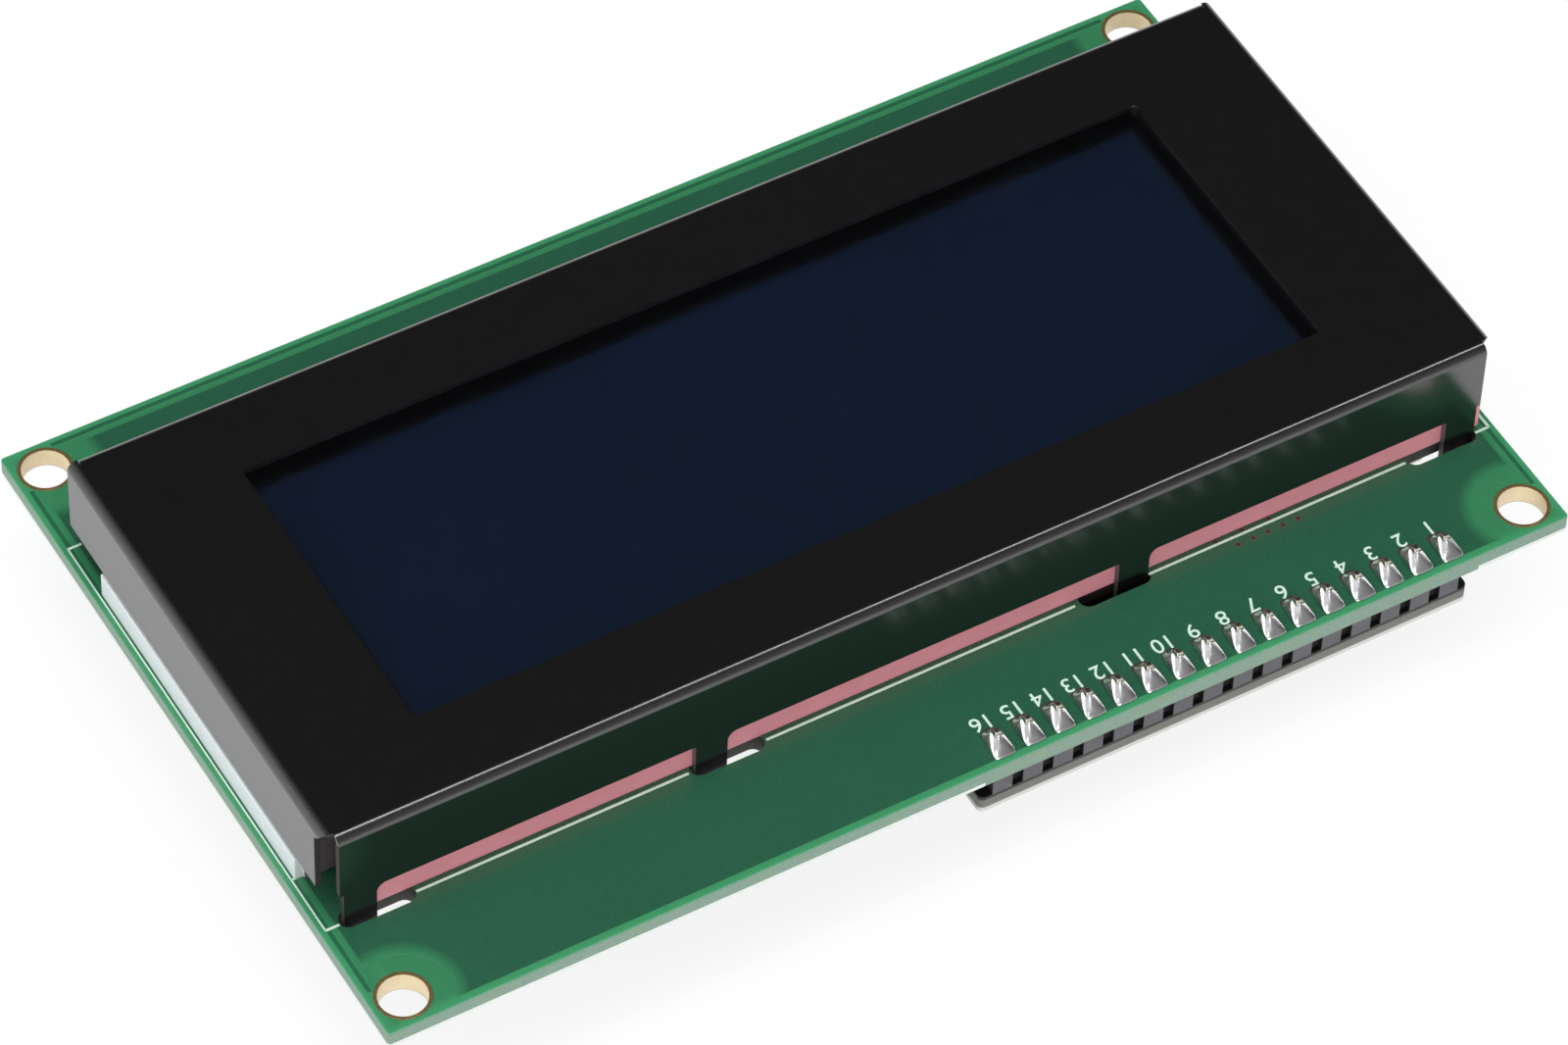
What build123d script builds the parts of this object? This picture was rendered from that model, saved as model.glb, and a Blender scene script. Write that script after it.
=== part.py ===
from build123d import *
from math import cos, radians, sin
import os

# Character display module with a serial adapter behind its header.
# Millimetres. X runs along the long side, +Y away from the header edge, +Z out of the display face.
# The origin is the centre of the four mounting holes, on the display side of the main board.

os.makedirs("parts", exist_ok=True)

# Main board
hole_spacing_x = 93.0
hole_spacing_y = 55.0
hole_edge = 2.5
hole_radius = 1.8
board_thickness = 1.6
board_corner_radius = 1.0

# Folded sheet bezel
bezel_end_margin = 0.7
bezel_width = 40.0
sheet = 0.5
bend_radius = 0.8
wall_gap = 2.8
long_wall_inset = 0.9
side_wall_front_inset = 2.0
side_wall_rear_inset = 0.3
corner_slit_drop = 0.3

# Window in the bezel
window_length = 75.2
window_width = 25.9
window_shift = 0.2
window_corner = 0.4

# Bezel tabs and the slots that take them
tab_width = 2.6
outer_tab_inset = 0.3
inner_tab_centre = 17.6
tab_root_radius = 0.8
tab_neck_corner = 0.15
shoulder_drop = 0.4
tab_twist = 40.0
tab_twist_height = 0.9
tab_tip_height = 0.8
tab_below_board = 0.05
slot_length = 5.9
slot_width = 1.5
slot_end_clearance = 0.25

# Liquid crystal cell and backlight, from the board up
frame_floor = 2.0
reflector_thickness = 0.15
light_guide_thickness = 4.0
diffuser_thickness = 0.25
polarizer_thickness = 0.2
glass_thickness = 1.1

# How the cell and the backlight fit in the bezel
rail_thickness = 0.8
rail_clearance = 0.1
glass_clearance = 0.1
glass_side_clearance = 0.5
ledge_clearance = 0.2
glass_over_frame = 0.7
frame_wall = 1.5
frame_end_wall = 1.6
film_clearance = 0.1
polarizer_overlap = 1.5
flange_height = 2.3
flange_inset = 0.3
flange_reach = 0.05

# Rubber contact strips
zebra_thickness = 3.0
zebra_wall_gap = 0.4
zebra_length = 93.0
zebra_shift = 1.1

# Backlight lamps
led_count = 3
led_spacing = 8.0
led_length = 3.0
led_height = 1.2
led_depth = 0.8
led_strip_thickness = 0.6
lead_size = 0.5
lead_spacing = 2.54
lead_hole_clearance = 0.15
lead_tail = 1.0

# Sixteen-way header between the boards
pin_spacing = 2.54
pin_count = 16
header_centre_x = 20.25
header_edge = 2.0
pin_size = 0.64
pin_hole_radius = 0.5
small_hole_sides = 8
pin_above_board = 1.4
pin_below_adapter = 1.3
pin_tip_chamfer = 0.15
spacer_height = 2.54
spacer_width = 2.5
spacer_notch = 0.45
spacer_notch_width = 0.9

# Solder joints
pad_length = 3.05
pad_width = 1.85
pad_rear_width = 1.45
pad_shift = 0.15
joint_neck_length = 1.05
joint_neck_width = 0.85
joint_corner = 0.3
joint_below_tip = 0.3
joint_steps = 3
cone_sides = 8
cone_radius = 0.8
cone_height = 1.0
cone_waist_radius = 0.5
cone_waist_height = 0.35
cone_neck = 0.15

# Adapter board
adapter_length = 41.7
adapter_width = 19.0
adapter_thickness = 1.6
adapter_edge = 1.2
adapter_corner_radius = 0.8

# Parts on the adapter board, placed from its centre
chip_length = 10.3
chip_width = 7.5
chip_height = 2.3
chip_standoff = 0.1
chip_edge_slope = 0.3
chip_x = 6.0
chip_y = 0.4
chip_lead_count = 8
chip_lead_spacing = 1.27
chip_lead_width = 0.4
chip_lead_thickness = 0.25
chip_lead_reach = 1.4
chip_lead_foot = 0.8

trimmer_size = 6.6
trimmer_height = 5.0
trimmer_foot = 0.3
trimmer_x = -7.5
trimmer_y = 0.5
rotor_radius = 1.9
rotor_thickness = 1.1
rotor_clearance = 0.05
rotor_floor_clearance = 0.05
rotor_recess = 0.2
rotor_slot_width = 0.6
rotor_slot_depth = 0.6
rotor_slot_length = 2.8

host_pin_count = 4
jumper_pin_count = 2
block_depth = 2.5
block_side = 2.5
block_from_edge = 0.6
bend_behind_block = 1.3
host_pin_reach = 6.0
jumper_pin_reach = 6.0
side_header_y = 1.0
tail_above_adapter = 0.9

cap_length = 6.4
cap_width = 4.9
cap_height = 2.4
cap_pin_clearance = 0.1
cap_gap = 0.1
clip_thickness = 0.2
clip_length = 4.0

# Small parts
resistor_length = 2.0
resistor_width = 1.25
resistor_height = 0.5
terminal_length = 0.35
terminal_thickness = 0.05
adapter_resistor_spots = [(-0.8, 4.0, 90), (-0.8, -1.0, 90), (-14.5, -5.0, 0), (14.5, 7.0, 0)]
adapter_capacitor_spot = (13.4, -5.6, 0)
power_led_spot = (11.0, 7.0, 0)
board_chip_row_x = -30.0
board_chip_clearance = 0.7
board_chip_spacing = 4.2
board_resistor_count = 5
transistor_length = 2.9
transistor_width = 1.3
transistor_height = 1.0
transistor_x = -14.5
transistor_y = 6.0
transistor_edge_slope = 0.2
transistor_lead_spacing = 0.95
transistor_lead_reach = 0.55
transistor_lead_foot = 0.3
transistor_lead_thickness = 0.12

# Resin blobs behind the main board
controller_blob_radius = 6.0
controller_blob_place = (-14.0, -4.0)
driver_blob_radius = 5.2
driver_blob_places = [(-36.0, -4.0), (14.0, 10.0)]
blob_height = 1.3
blob_roundness = 2.6
blob_crown = 0.35
blob_levels = 4
blob_sides = 16

# Heights worked out from the board up
board_length = hole_spacing_x + 2 * hole_edge
board_width = hole_spacing_y + 2 * hole_edge
board_back = -board_thickness
reflector_base = frame_floor
guide_base = reflector_base + reflector_thickness
diffuser_base = guide_base + light_guide_thickness
rear_polarizer_base = diffuser_base + diffuser_thickness
rear_glass_base = rear_polarizer_base + polarizer_thickness
front_glass_base = rear_glass_base + glass_thickness
front_polarizer_base = front_glass_base + glass_thickness
bezel_under = front_polarizer_base + polarizer_thickness
bezel_top = bezel_under + sheet

# Half sizes worked out from the bezel inwards
bezel_half_x = board_length / 2 - bezel_end_margin
bezel_half_y = bezel_width / 2
plate_half_x = bezel_half_x - bend_radius
plate_half_y = bezel_half_y - bend_radius
wall_inner_x = bezel_half_x - sheet
wall_inner_y = bezel_half_y - sheet
rail_outer_x = wall_inner_x - rail_clearance
rail_inner_x = rail_outer_x - rail_thickness
glass_half_x = rail_inner_x - glass_clearance
front_glass_half_y = wall_inner_y - glass_side_clearance
zebra_outer_y = wall_inner_y - zebra_wall_gap
rear_glass_half_y = zebra_outer_y - zebra_thickness - ledge_clearance
frame_half_y = rear_glass_half_y - glass_over_frame
flange_half_y = frame_half_y - flange_inset
cavity_half_y = frame_half_y - frame_wall
cavity_half_x = rail_outer_x - frame_end_wall
strip_face_x = cavity_half_x - led_strip_thickness
led_face_x = strip_face_x - led_depth

# Places of the tabs and the slots
long_wall_half = bezel_half_x - long_wall_inset
outer_tab_centre = long_wall_half - outer_tab_inset - tab_width / 2
tab_centres = [outer_tab_centre, inner_tab_centre]
slot_shift = slot_end_clearance + tab_width / 2 - slot_length / 2
slot_y = bezel_half_y - sheet / 2
tab_turn = radians(tab_twist)
tab_reach_y = slot_y + (tab_width * sin(tab_turn) + sheet * cos(tab_turn)) / 2
board_chip_row_y = -tab_reach_y - board_chip_clearance - resistor_length / 2

# Places of the header and the adapter board
header_y = header_edge - board_width / 2
adapter_top = board_back - spacer_height
adapter_back = adapter_top - adapter_thickness
adapter_y = header_y - adapter_edge + adapter_width / 2
pin_bottom = adapter_back - pin_below_adapter
trimmer_centre_x = header_centre_x + trimmer_x
trimmer_centre_y = adapter_y + trimmer_y
trimmer_face = adapter_back - trimmer_height
block_middle = adapter_back - block_side / 2


def keep(builder, label):
    """Label a finished piece and write it as one STEP file."""
    builder.part.label = label
    export_step(builder.part, f"parts/{label}.step")


# Main board

with BuildPart() as main_board:
    with BuildSketch(Plane.XY.offset(board_back)):
        RectangleRounded(board_length, board_width, board_corner_radius)
        with GridLocations(hole_spacing_x, hole_spacing_y, 2, 2):
            Circle(hole_radius, mode=Mode.SUBTRACT)
        for side_y in (-1, 1):
            for side_x in (-1, 1):
                for tab_x in tab_centres:
                    with Locations((side_x * (tab_x + slot_shift), side_y * slot_y)):
                        SlotOverall(slot_length, slot_width, mode=Mode.SUBTRACT)
        with Locations((header_centre_x, header_y)):
            with GridLocations(pin_spacing, 0, pin_count, 1):
                RegularPolygon(pin_hole_radius, small_hole_sides, mode=Mode.SUBTRACT)
        with Locations((strip_face_x + led_strip_thickness / 2, 0)):
            with GridLocations(0, lead_spacing, 1, 2):
                RegularPolygon(lead_size / 2 + lead_hole_clearance, small_hole_sides, mode=Mode.SUBTRACT)
    extrude(amount=board_thickness)
keep(main_board, "main_board")


# Bezel: a flat plate with the window, four bent walls and eight twisted tabs

def wall_profile(half, low):
    """Return a bent wall's section: out along the plate, round the bend and down to a low edge."""
    bend_x = half - bend_radius
    bend_z = bezel_top - bend_radius
    with BuildSketch() as section:
        with BuildLine():
            top = CenterArc((bend_x, bend_z), bend_radius, 0, 90)
            under = CenterArc((bend_x, bend_z), bend_radius - sheet, 0, 90)
            Line(top @ 1, under @ 1)
            Polyline(top @ 0, (half, low), (half - sheet, low), under @ 0)
        make_face()
    return section.sketch


with BuildPart() as bezel:
    with BuildSketch(Plane.XY.offset(bezel_under)):
        Rectangle(2 * plate_half_x, 2 * plate_half_y)
        with Locations((0, window_shift)):
            RectangleRounded(window_length, window_width, window_corner, mode=Mode.SUBTRACT)
    extrude(amount=sheet)

    # Long walls, first as deep as the tabs' necks
    neck_low = board_back - tab_below_board
    for side in (-1, 1):
        with BuildSketch(Plane((-side * long_wall_half, 0, 0), x_dir=(0, side, 0), z_dir=(side, 0, 0))):
            add(wall_profile(bezel_half_y, neck_low))
        extrude(amount=2 * long_wall_half)

    # Short walls with a slit at each front corner, over which the bend runs on
    for side in (-1, 1):
        rear_end = bezel_half_y - side_wall_rear_inset
        front_end = -bezel_half_y + side_wall_front_inset
        with BuildSketch(Plane((0, rear_end, 0), x_dir=(side, 0, 0), z_dir=(0, -side, 0))):
            add(wall_profile(bezel_half_x, wall_gap))
        extrude(amount=side * (rear_end - front_end))
        with BuildSketch(Plane((0, front_end, 0), x_dir=(side, 0, 0), z_dir=(0, -side, 0))):
            add(wall_profile(bezel_half_x, bezel_top - bend_radius - corner_slit_drop))
        extrude(amount=side * (front_end + plate_half_y))

    # Openings between the tabs, with a round root on one side of each tab
    inner_low = -inner_tab_centre + tab_width / 2
    outer_low = -outer_tab_centre + tab_width / 2
    openings = [
        (outer_low, -inner_tab_centre - tab_width / 2),
        (inner_low, inner_tab_centre - tab_width / 2),
        (inner_tab_centre + tab_width / 2, outer_tab_centre - tab_width / 2),
    ]
    opening_height = wall_gap - neck_low
    for start, end in openings:
        with BuildSketch(Plane.XZ):
            with Locations(((start + end) / 2, wall_gap - opening_height / 2)):
                Rectangle(end - start, opening_height)
            fillet(vertices().group_by(Axis.Y)[-1].sort_by(Axis.X)[0], radius=tab_root_radius)
            fillet(vertices().group_by(Axis.Y)[-1].sort_by(Axis.X)[-1], radius=tab_neck_corner)
        extrude(amount=bezel_width, both=True, mode=Mode.SUBTRACT)

    # Shoulders beyond the outer tabs
    shoulder_low = wall_gap + shoulder_drop
    for side in (-1, 1):
        with BuildSketch(Plane.XZ):
            with Locations((side * (long_wall_half - outer_tab_inset / 2), (shoulder_low + neck_low) / 2)):
                Rectangle(outer_tab_inset, shoulder_low - neck_low)
        extrude(amount=bezel_width, both=True, mode=Mode.SUBTRACT)

    # Twisted ends that hold the bezel behind the board
    for side_y in (-1, 1):
        for side_x in (-1, 1):
            for tab_x in tab_centres:
                turn = tab_twist * side_x * side_y
                steps = [(0, 0), (tab_twist_height, turn), (tab_twist_height + tab_tip_height, turn)]
                for drop, angle in steps:
                    with BuildSketch(Plane.XY.offset(neck_low - drop)):
                        with Locations(Location((side_x * tab_x, side_y * slot_y), angle)):
                            Rectangle(tab_width, sheet)
                loft(ruled=True)
keep(bezel, "bezel")


# Liquid crystal cell

with BuildPart() as front_polarizer:
    with BuildSketch(Plane.XY.offset(front_polarizer_base)):
        with Locations((0, window_shift)):
            Rectangle(window_length + 2 * polarizer_overlap, window_width + 2 * polarizer_overlap)
    extrude(amount=polarizer_thickness)
keep(front_polarizer, "front_polarizer")

with BuildPart() as front_glass:
    with BuildSketch(Plane.XY.offset(front_glass_base)):
        Rectangle(2 * glass_half_x, 2 * front_glass_half_y)
    extrude(amount=glass_thickness)
keep(front_glass, "front_glass")

with BuildPart() as rear_glass:
    with BuildSketch(Plane.XY.offset(rear_glass_base)):
        Rectangle(2 * glass_half_x, 2 * rear_glass_half_y)
    extrude(amount=glass_thickness)
keep(rear_glass, "rear_glass")

with BuildPart() as rear_polarizer:
    with BuildSketch(Plane.XY.offset(rear_polarizer_base)):
        Rectangle(2 * (cavity_half_x - film_clearance), 2 * (cavity_half_y - film_clearance))
    extrude(amount=polarizer_thickness)
keep(rear_polarizer, "rear_polarizer")

for side, label in ((-1, "zebra_strip_front"), (1, "zebra_strip_rear")):
    with BuildPart() as zebra_strip:
        with BuildSketch(Plane.XY):
            with Locations((zebra_shift, side * (zebra_outer_y - zebra_thickness / 2))):
                Rectangle(zebra_length, zebra_thickness)
        extrude(amount=front_glass_base)
    keep(zebra_strip, label)


# Backlight

with BuildPart() as backlight_frame:
    with BuildSketch(Plane.XY):
        Rectangle(2 * rail_outer_x, 2 * frame_half_y)
    extrude(amount=rear_glass_base)
    with BuildSketch(Plane.XY):
        Rectangle(2 * (bezel_half_x + flange_reach), 2 * flange_half_y)
    extrude(amount=flange_height)
    # End rails that keep the glass in place
    with BuildSketch(Plane.XY.offset(rear_glass_base)):
        with GridLocations(2 * rail_inner_x + rail_thickness, 0, 2, 1):
            Rectangle(rail_thickness, 2 * flange_half_y)
    extrude(amount=2 * glass_thickness)
    # Tray for the films, the light guide and the lamps
    with BuildSketch(Plane.XY.offset(frame_floor)):
        Rectangle(2 * cavity_half_x, 2 * cavity_half_y)
    extrude(amount=rear_glass_base - frame_floor, mode=Mode.SUBTRACT)
    with BuildSketch(Plane.XY):
        with Locations((strip_face_x + led_strip_thickness / 2, 0)):
            with GridLocations(0, lead_spacing, 1, 2):
                RegularPolygon(lead_size / 2 + lead_hole_clearance, small_hole_sides)
    extrude(amount=frame_floor, mode=Mode.SUBTRACT)
keep(backlight_frame, "backlight_frame")

# The guide and the films run from the left end wall to the lamps
guide_left = -cavity_half_x + film_clearance
guide_right = led_face_x - film_clearance
guide_half_y = cavity_half_y - film_clearance

with BuildPart() as reflector_sheet:
    with BuildSketch(Plane.XY.offset(reflector_base)):
        with Locations(((guide_left + guide_right) / 2, 0)):
            Rectangle(guide_right - guide_left, 2 * guide_half_y)
    extrude(amount=reflector_thickness)
keep(reflector_sheet, "reflector_sheet")

with BuildPart() as light_guide:
    with BuildSketch(Plane.XY.offset(guide_base)):
        with Locations(((guide_left + guide_right) / 2, 0)):
            Rectangle(guide_right - guide_left, 2 * guide_half_y)
    extrude(amount=light_guide_thickness)
keep(light_guide, "light_guide")

with BuildPart() as diffuser_sheet:
    with BuildSketch(Plane.XY.offset(diffuser_base)):
        Rectangle(2 * (cavity_half_x - film_clearance), 2 * guide_half_y)
    extrude(amount=diffuser_thickness)
keep(diffuser_sheet, "diffuser_sheet")

with BuildPart() as backlight_led_strip:
    with BuildSketch(Plane.XY.offset(frame_floor)):
        with Locations((strip_face_x + led_strip_thickness / 2, 0)):
            Rectangle(led_strip_thickness, 2 * guide_half_y)
    extrude(amount=diffuser_base - frame_floor)
keep(backlight_led_strip, "backlight_led_strip")

led_middle = guide_base + light_guide_thickness / 2
with BuildPart() as backlight_leds:
    with BuildSketch(Plane.YZ.offset(led_face_x)):
        with Locations((0, led_middle)):
            with GridLocations(led_spacing, 0, led_count, 1):
                Rectangle(led_length, led_height)
    extrude(amount=led_depth)
keep(backlight_leds, "backlight_leds")

with BuildPart() as backlight_leads:
    with BuildSketch(Plane.XY.offset(board_back - lead_tail)):
        with Locations((strip_face_x + led_strip_thickness / 2, 0)):
            with GridLocations(0, lead_spacing, 1, 2):
                Rectangle(lead_size, lead_size)
    extrude(amount=lead_tail + board_thickness + frame_floor)
keep(backlight_leads, "backlight_leads")


# Sixteen-way header

with BuildPart() as header_pins:
    with BuildSketch(Plane.XY.offset(pin_bottom)):
        with Locations((header_centre_x, header_y)):
            with GridLocations(pin_spacing, 0, pin_count, 1):
                Rectangle(pin_size, pin_size)
    extrude(amount=pin_above_board - pin_bottom)
    chamfer(faces().group_by(Axis.Z)[-1].edges(), length=pin_tip_chamfer)
keep(header_pins, "header_pins")

with BuildPart() as header_spacer:
    with BuildSketch(Plane.XY.offset(adapter_top)):
        with Locations((header_centre_x, header_y)):
            Rectangle(pin_count * pin_spacing, spacer_width)
            # A notch between each pair of pins, on both sides
            for side in (-1, 1):
                with Locations((0, side * (spacer_width - spacer_notch) / 2)):
                    with GridLocations(pin_spacing, 0, pin_count + 1, 1):
                        Rectangle(spacer_notch_width, spacer_notch, mode=Mode.SUBTRACT)
            with GridLocations(pin_spacing, 0, pin_count, 1):
                Rectangle(pin_size, pin_size, mode=Mode.SUBTRACT)
    extrude(amount=spacer_height)
keep(header_spacer, "header_spacer")


# Solder on the display side: hollow at the rear and the sides, with a plain slope at the front
joint_height = pin_above_board - joint_below_tip
neck_reach = joint_neck_length / 2
rear_reach = pad_length / 2 - pad_shift
front_reach = pad_length / 2 + pad_shift


def hollow_slope(foot, neck):
    """Return the points of a hollow slope from its foot on the board up to the neck."""
    return [
        (neck + (foot - neck) * (1 - step / joint_steps) ** 2, joint_height * step / joint_steps)
        for step in range(joint_steps + 1)
    ]


with BuildPart() as one_joint:
    with BuildSketch(Plane.XY):
        with BuildLine():
            Polyline(
                (-pad_width / 2, -front_reach),
                (pad_width / 2, -front_reach),
                (pad_rear_width / 2, rear_reach - joint_corner),
                (pad_rear_width / 2 - joint_corner, rear_reach),
                (joint_corner - pad_rear_width / 2, rear_reach),
                (-pad_rear_width / 2, rear_reach - joint_corner),
                close=True,
            )
        make_face()
    extrude(amount=joint_height)
    # Outline seen from the side
    with BuildSketch(Plane.YZ):
        with BuildLine():
            rear_slope = hollow_slope(rear_reach, neck_reach)
            Polyline((-front_reach, 0), *rear_slope, (-neck_reach, joint_height), close=True)
        make_face()
    extrude(amount=pad_width, both=True, mode=Mode.INTERSECT)
    # Outline seen from the front
    with BuildSketch(Plane.XZ):
        with BuildLine():
            flank = hollow_slope(pad_width / 2, joint_neck_width / 2)
            Polyline(*flank, *[(-x, z) for x, z in reversed(flank)], close=True)
        make_face()
    extrude(amount=pad_length, both=True, mode=Mode.INTERSECT)
    with BuildSketch(Plane.XY):
        Rectangle(pin_size, pin_size)
    extrude(amount=pin_above_board, mode=Mode.SUBTRACT)

with BuildPart() as display_solder_joints:
    with Locations((header_centre_x, header_y)):
        with GridLocations(pin_spacing, 0, pin_count, 1):
            add(one_joint.part)
keep(display_solder_joints, "display_solder_joints")

def faceted(flank, sides):
    """Return a body with flat facets all the way round, from its flank's (radius, height) points."""
    reach = 2 * flank[0][0]
    with BuildPart() as body:
        with BuildSketch(Plane.XY):
            Rectangle(reach, reach)
        extrude(amount=flank[-1][1])
        for index in range(sides // 2):
            with BuildSketch(Plane.XZ.rotated((0, 0, index * 360 / sides))):
                with BuildLine():
                    Polyline(*flank, *[(-x, z) for x, z in reversed(flank)], close=True)
                make_face()
            extrude(amount=reach, both=True, mode=Mode.INTERSECT)
    return body.part


# Waisted joints behind the adapter board
cone_flank = [
    (cone_radius, 0),
    (cone_waist_radius, -cone_waist_height),
    (pin_size / 2 + cone_neck, -cone_height),
]
with BuildPart() as one_cone:
    add(faceted(cone_flank, cone_sides))
    with BuildSketch(Plane.XY):
        Rectangle(pin_size, pin_size)
    extrude(amount=-cone_height, mode=Mode.SUBTRACT)

with BuildPart() as adapter_solder_joints:
    with Locations((header_centre_x, header_y, adapter_back)):
        with GridLocations(pin_spacing, 0, pin_count, 1):
            add(one_cone.part)
keep(adapter_solder_joints, "adapter_solder_joints")


# Adapter board

host_edge_x = header_centre_x + adapter_length / 2
jumper_edge_x = header_centre_x - adapter_length / 2
tail_inset = block_from_edge + block_depth + bend_behind_block
header_row_y = adapter_y + side_header_y
trimmer_lead_places = [(-pin_spacing, -pin_spacing), (0, pin_spacing), (pin_spacing, -pin_spacing)]

with BuildPart() as adapter_board:
    with BuildSketch(Plane.XY.offset(adapter_back)):
        with Locations((header_centre_x, adapter_y)):
            RectangleRounded(adapter_length, adapter_width, adapter_corner_radius)
        with Locations((header_centre_x, header_y)):
            with GridLocations(pin_spacing, 0, pin_count, 1):
                RegularPolygon(pin_hole_radius, small_hole_sides, mode=Mode.SUBTRACT)
        for edge_x, inward, count in (
            (host_edge_x, -1, host_pin_count),
            (jumper_edge_x, 1, jumper_pin_count),
        ):
            with Locations((edge_x + inward * tail_inset, header_row_y)):
                with GridLocations(0, pin_spacing, 1, count):
                    RegularPolygon(pin_hole_radius, small_hole_sides, mode=Mode.SUBTRACT)
        for lead_x, lead_y in trimmer_lead_places:
            with Locations((trimmer_centre_x + lead_x, trimmer_centre_y + lead_y)):
                RegularPolygon(lead_size / 2 + lead_hole_clearance, small_hole_sides, mode=Mode.SUBTRACT)
    extrude(amount=adapter_thickness)
keep(adapter_board, "adapter_board")


# Port chip, body down

chip_centre_x = header_centre_x + chip_x
chip_centre_y = adapter_y + chip_y
chip_seat = adapter_back - chip_standoff

with BuildPart() as expander_chip:
    with BuildSketch(Plane.XY.offset(chip_seat - chip_height)):
        with Locations((chip_centre_x, chip_centre_y)):
            Rectangle(chip_length, chip_width)
    extrude(amount=chip_height)
    chamfer(edges().filter_by(Axis.X), length=chip_edge_slope)
keep(expander_chip, "expander_chip")

def bent_lead(places, reach, foot, drop, thickness, width):
    """Return surface-mount leads, each given by where it leaves its body and the way it points."""
    knee = reach - foot
    with BuildPart() as leads:
        for lead_x, lead_y, side in places:
            start = (lead_x - side * width / 2, lead_y, adapter_back)
            with BuildSketch(Plane(start, x_dir=(0, side, 0), z_dir=(side, 0, 0))):
                with BuildLine():
                    Polyline(
                        (0, -drop - thickness / 2),
                        (knee + thickness / 2, -drop - thickness / 2),
                        (knee + thickness / 2, -thickness),
                        (reach, -thickness),
                        (reach, 0),
                        (knee - thickness / 2, 0),
                        (knee - thickness / 2, -drop + thickness / 2),
                        (0, -drop + thickness / 2),
                        close=True,
                    )
                make_face()
            extrude(amount=width)
    return leads


chip_first_x = chip_centre_x - (chip_lead_count - 1) * chip_lead_spacing / 2
chip_lead_places = [
    (chip_first_x + index * chip_lead_spacing, chip_centre_y + side * chip_width / 2, side)
    for side in (-1, 1)
    for index in range(chip_lead_count)
]
expander_leads = bent_lead(
    chip_lead_places,
    chip_lead_reach,
    chip_lead_foot,
    chip_standoff + chip_height / 2,
    chip_lead_thickness,
    chip_lead_width,
)
keep(expander_leads, "expander_leads")


# Contrast trimmer: a body with a round recess, and the rotor that turns in it

recess_depth = rotor_recess + rotor_thickness + rotor_floor_clearance

with BuildPart() as trimmer_body:
    with BuildSketch(Plane.XY.offset(trimmer_face)):
        with Locations((trimmer_centre_x, trimmer_centre_y)):
            Rectangle(trimmer_size, trimmer_size)
    extrude(amount=trimmer_height - trimmer_foot)
    chamfer(edges().filter_by(Axis.Z), length=trimmer_foot)
    # Feet that hold the case off the board
    with BuildSketch(Plane.XY.offset(adapter_back - trimmer_foot)):
        with Locations((trimmer_centre_x, trimmer_centre_y)):
            with GridLocations(trimmer_size - 3 * trimmer_foot, 0, 2, 1):
                Rectangle(trimmer_foot * 2, trimmer_size / 2)
    extrude(amount=trimmer_foot)
    with BuildSketch(Plane.XY.offset(trimmer_face)):
        with Locations((trimmer_centre_x, trimmer_centre_y)):
            Circle(rotor_radius + rotor_clearance)
    extrude(amount=recess_depth, mode=Mode.SUBTRACT)
keep(trimmer_body, "trimmer_body")

rotor_face = trimmer_face + rotor_recess
with BuildPart() as trimmer_rotor:
    with BuildSketch(Plane.XY.offset(rotor_face)):
        with Locations((trimmer_centre_x, trimmer_centre_y)):
            Circle(rotor_radius)
    extrude(amount=rotor_thickness)
    with BuildSketch(Plane.XY.offset(rotor_face)):
        with Locations((trimmer_centre_x, trimmer_centre_y)):
            Rectangle(rotor_slot_length, rotor_slot_width)
            Rectangle(rotor_slot_width, rotor_slot_length)
    extrude(amount=rotor_slot_depth, mode=Mode.SUBTRACT)
keep(trimmer_rotor, "trimmer_rotor")

with BuildPart() as trimmer_leads:
    with BuildSketch(Plane.XY.offset(adapter_back - trimmer_foot)):
        with Locations((trimmer_centre_x, trimmer_centre_y)):
            with Locations(*trimmer_lead_places):
                Rectangle(lead_size, lead_size)
    extrude(amount=trimmer_foot + adapter_thickness + tail_above_adapter)
keep(trimmer_leads, "trimmer_leads")


# Right-angle headers at the two short edges of the adapter board

def side_block(edge_x, inward, count):
    """Return the plastic block of a right-angle header, with its pins' square holes."""
    centre_x = edge_x + inward * (block_from_edge + block_depth / 2)
    with BuildPart() as block:
        with BuildSketch(Plane.XY.offset(adapter_back - block_side)):
            with Locations((centre_x, header_row_y)):
                Rectangle(block_depth, count * pin_spacing)
                for side in (-1, 1):
                    with Locations((side * (block_depth - spacer_notch) / 2, 0)):
                        with GridLocations(0, pin_spacing, 1, count + 1):
                            Rectangle(spacer_notch, spacer_notch_width, mode=Mode.SUBTRACT)
        extrude(amount=block_side)
        with BuildSketch(Plane.YZ.offset(centre_x - block_depth)):
            with Locations((header_row_y, block_middle)):
                with GridLocations(pin_spacing, 0, count, 1):
                    Rectangle(pin_size, pin_size)
        extrude(amount=2 * block_depth, mode=Mode.SUBTRACT)
    return block


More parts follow.
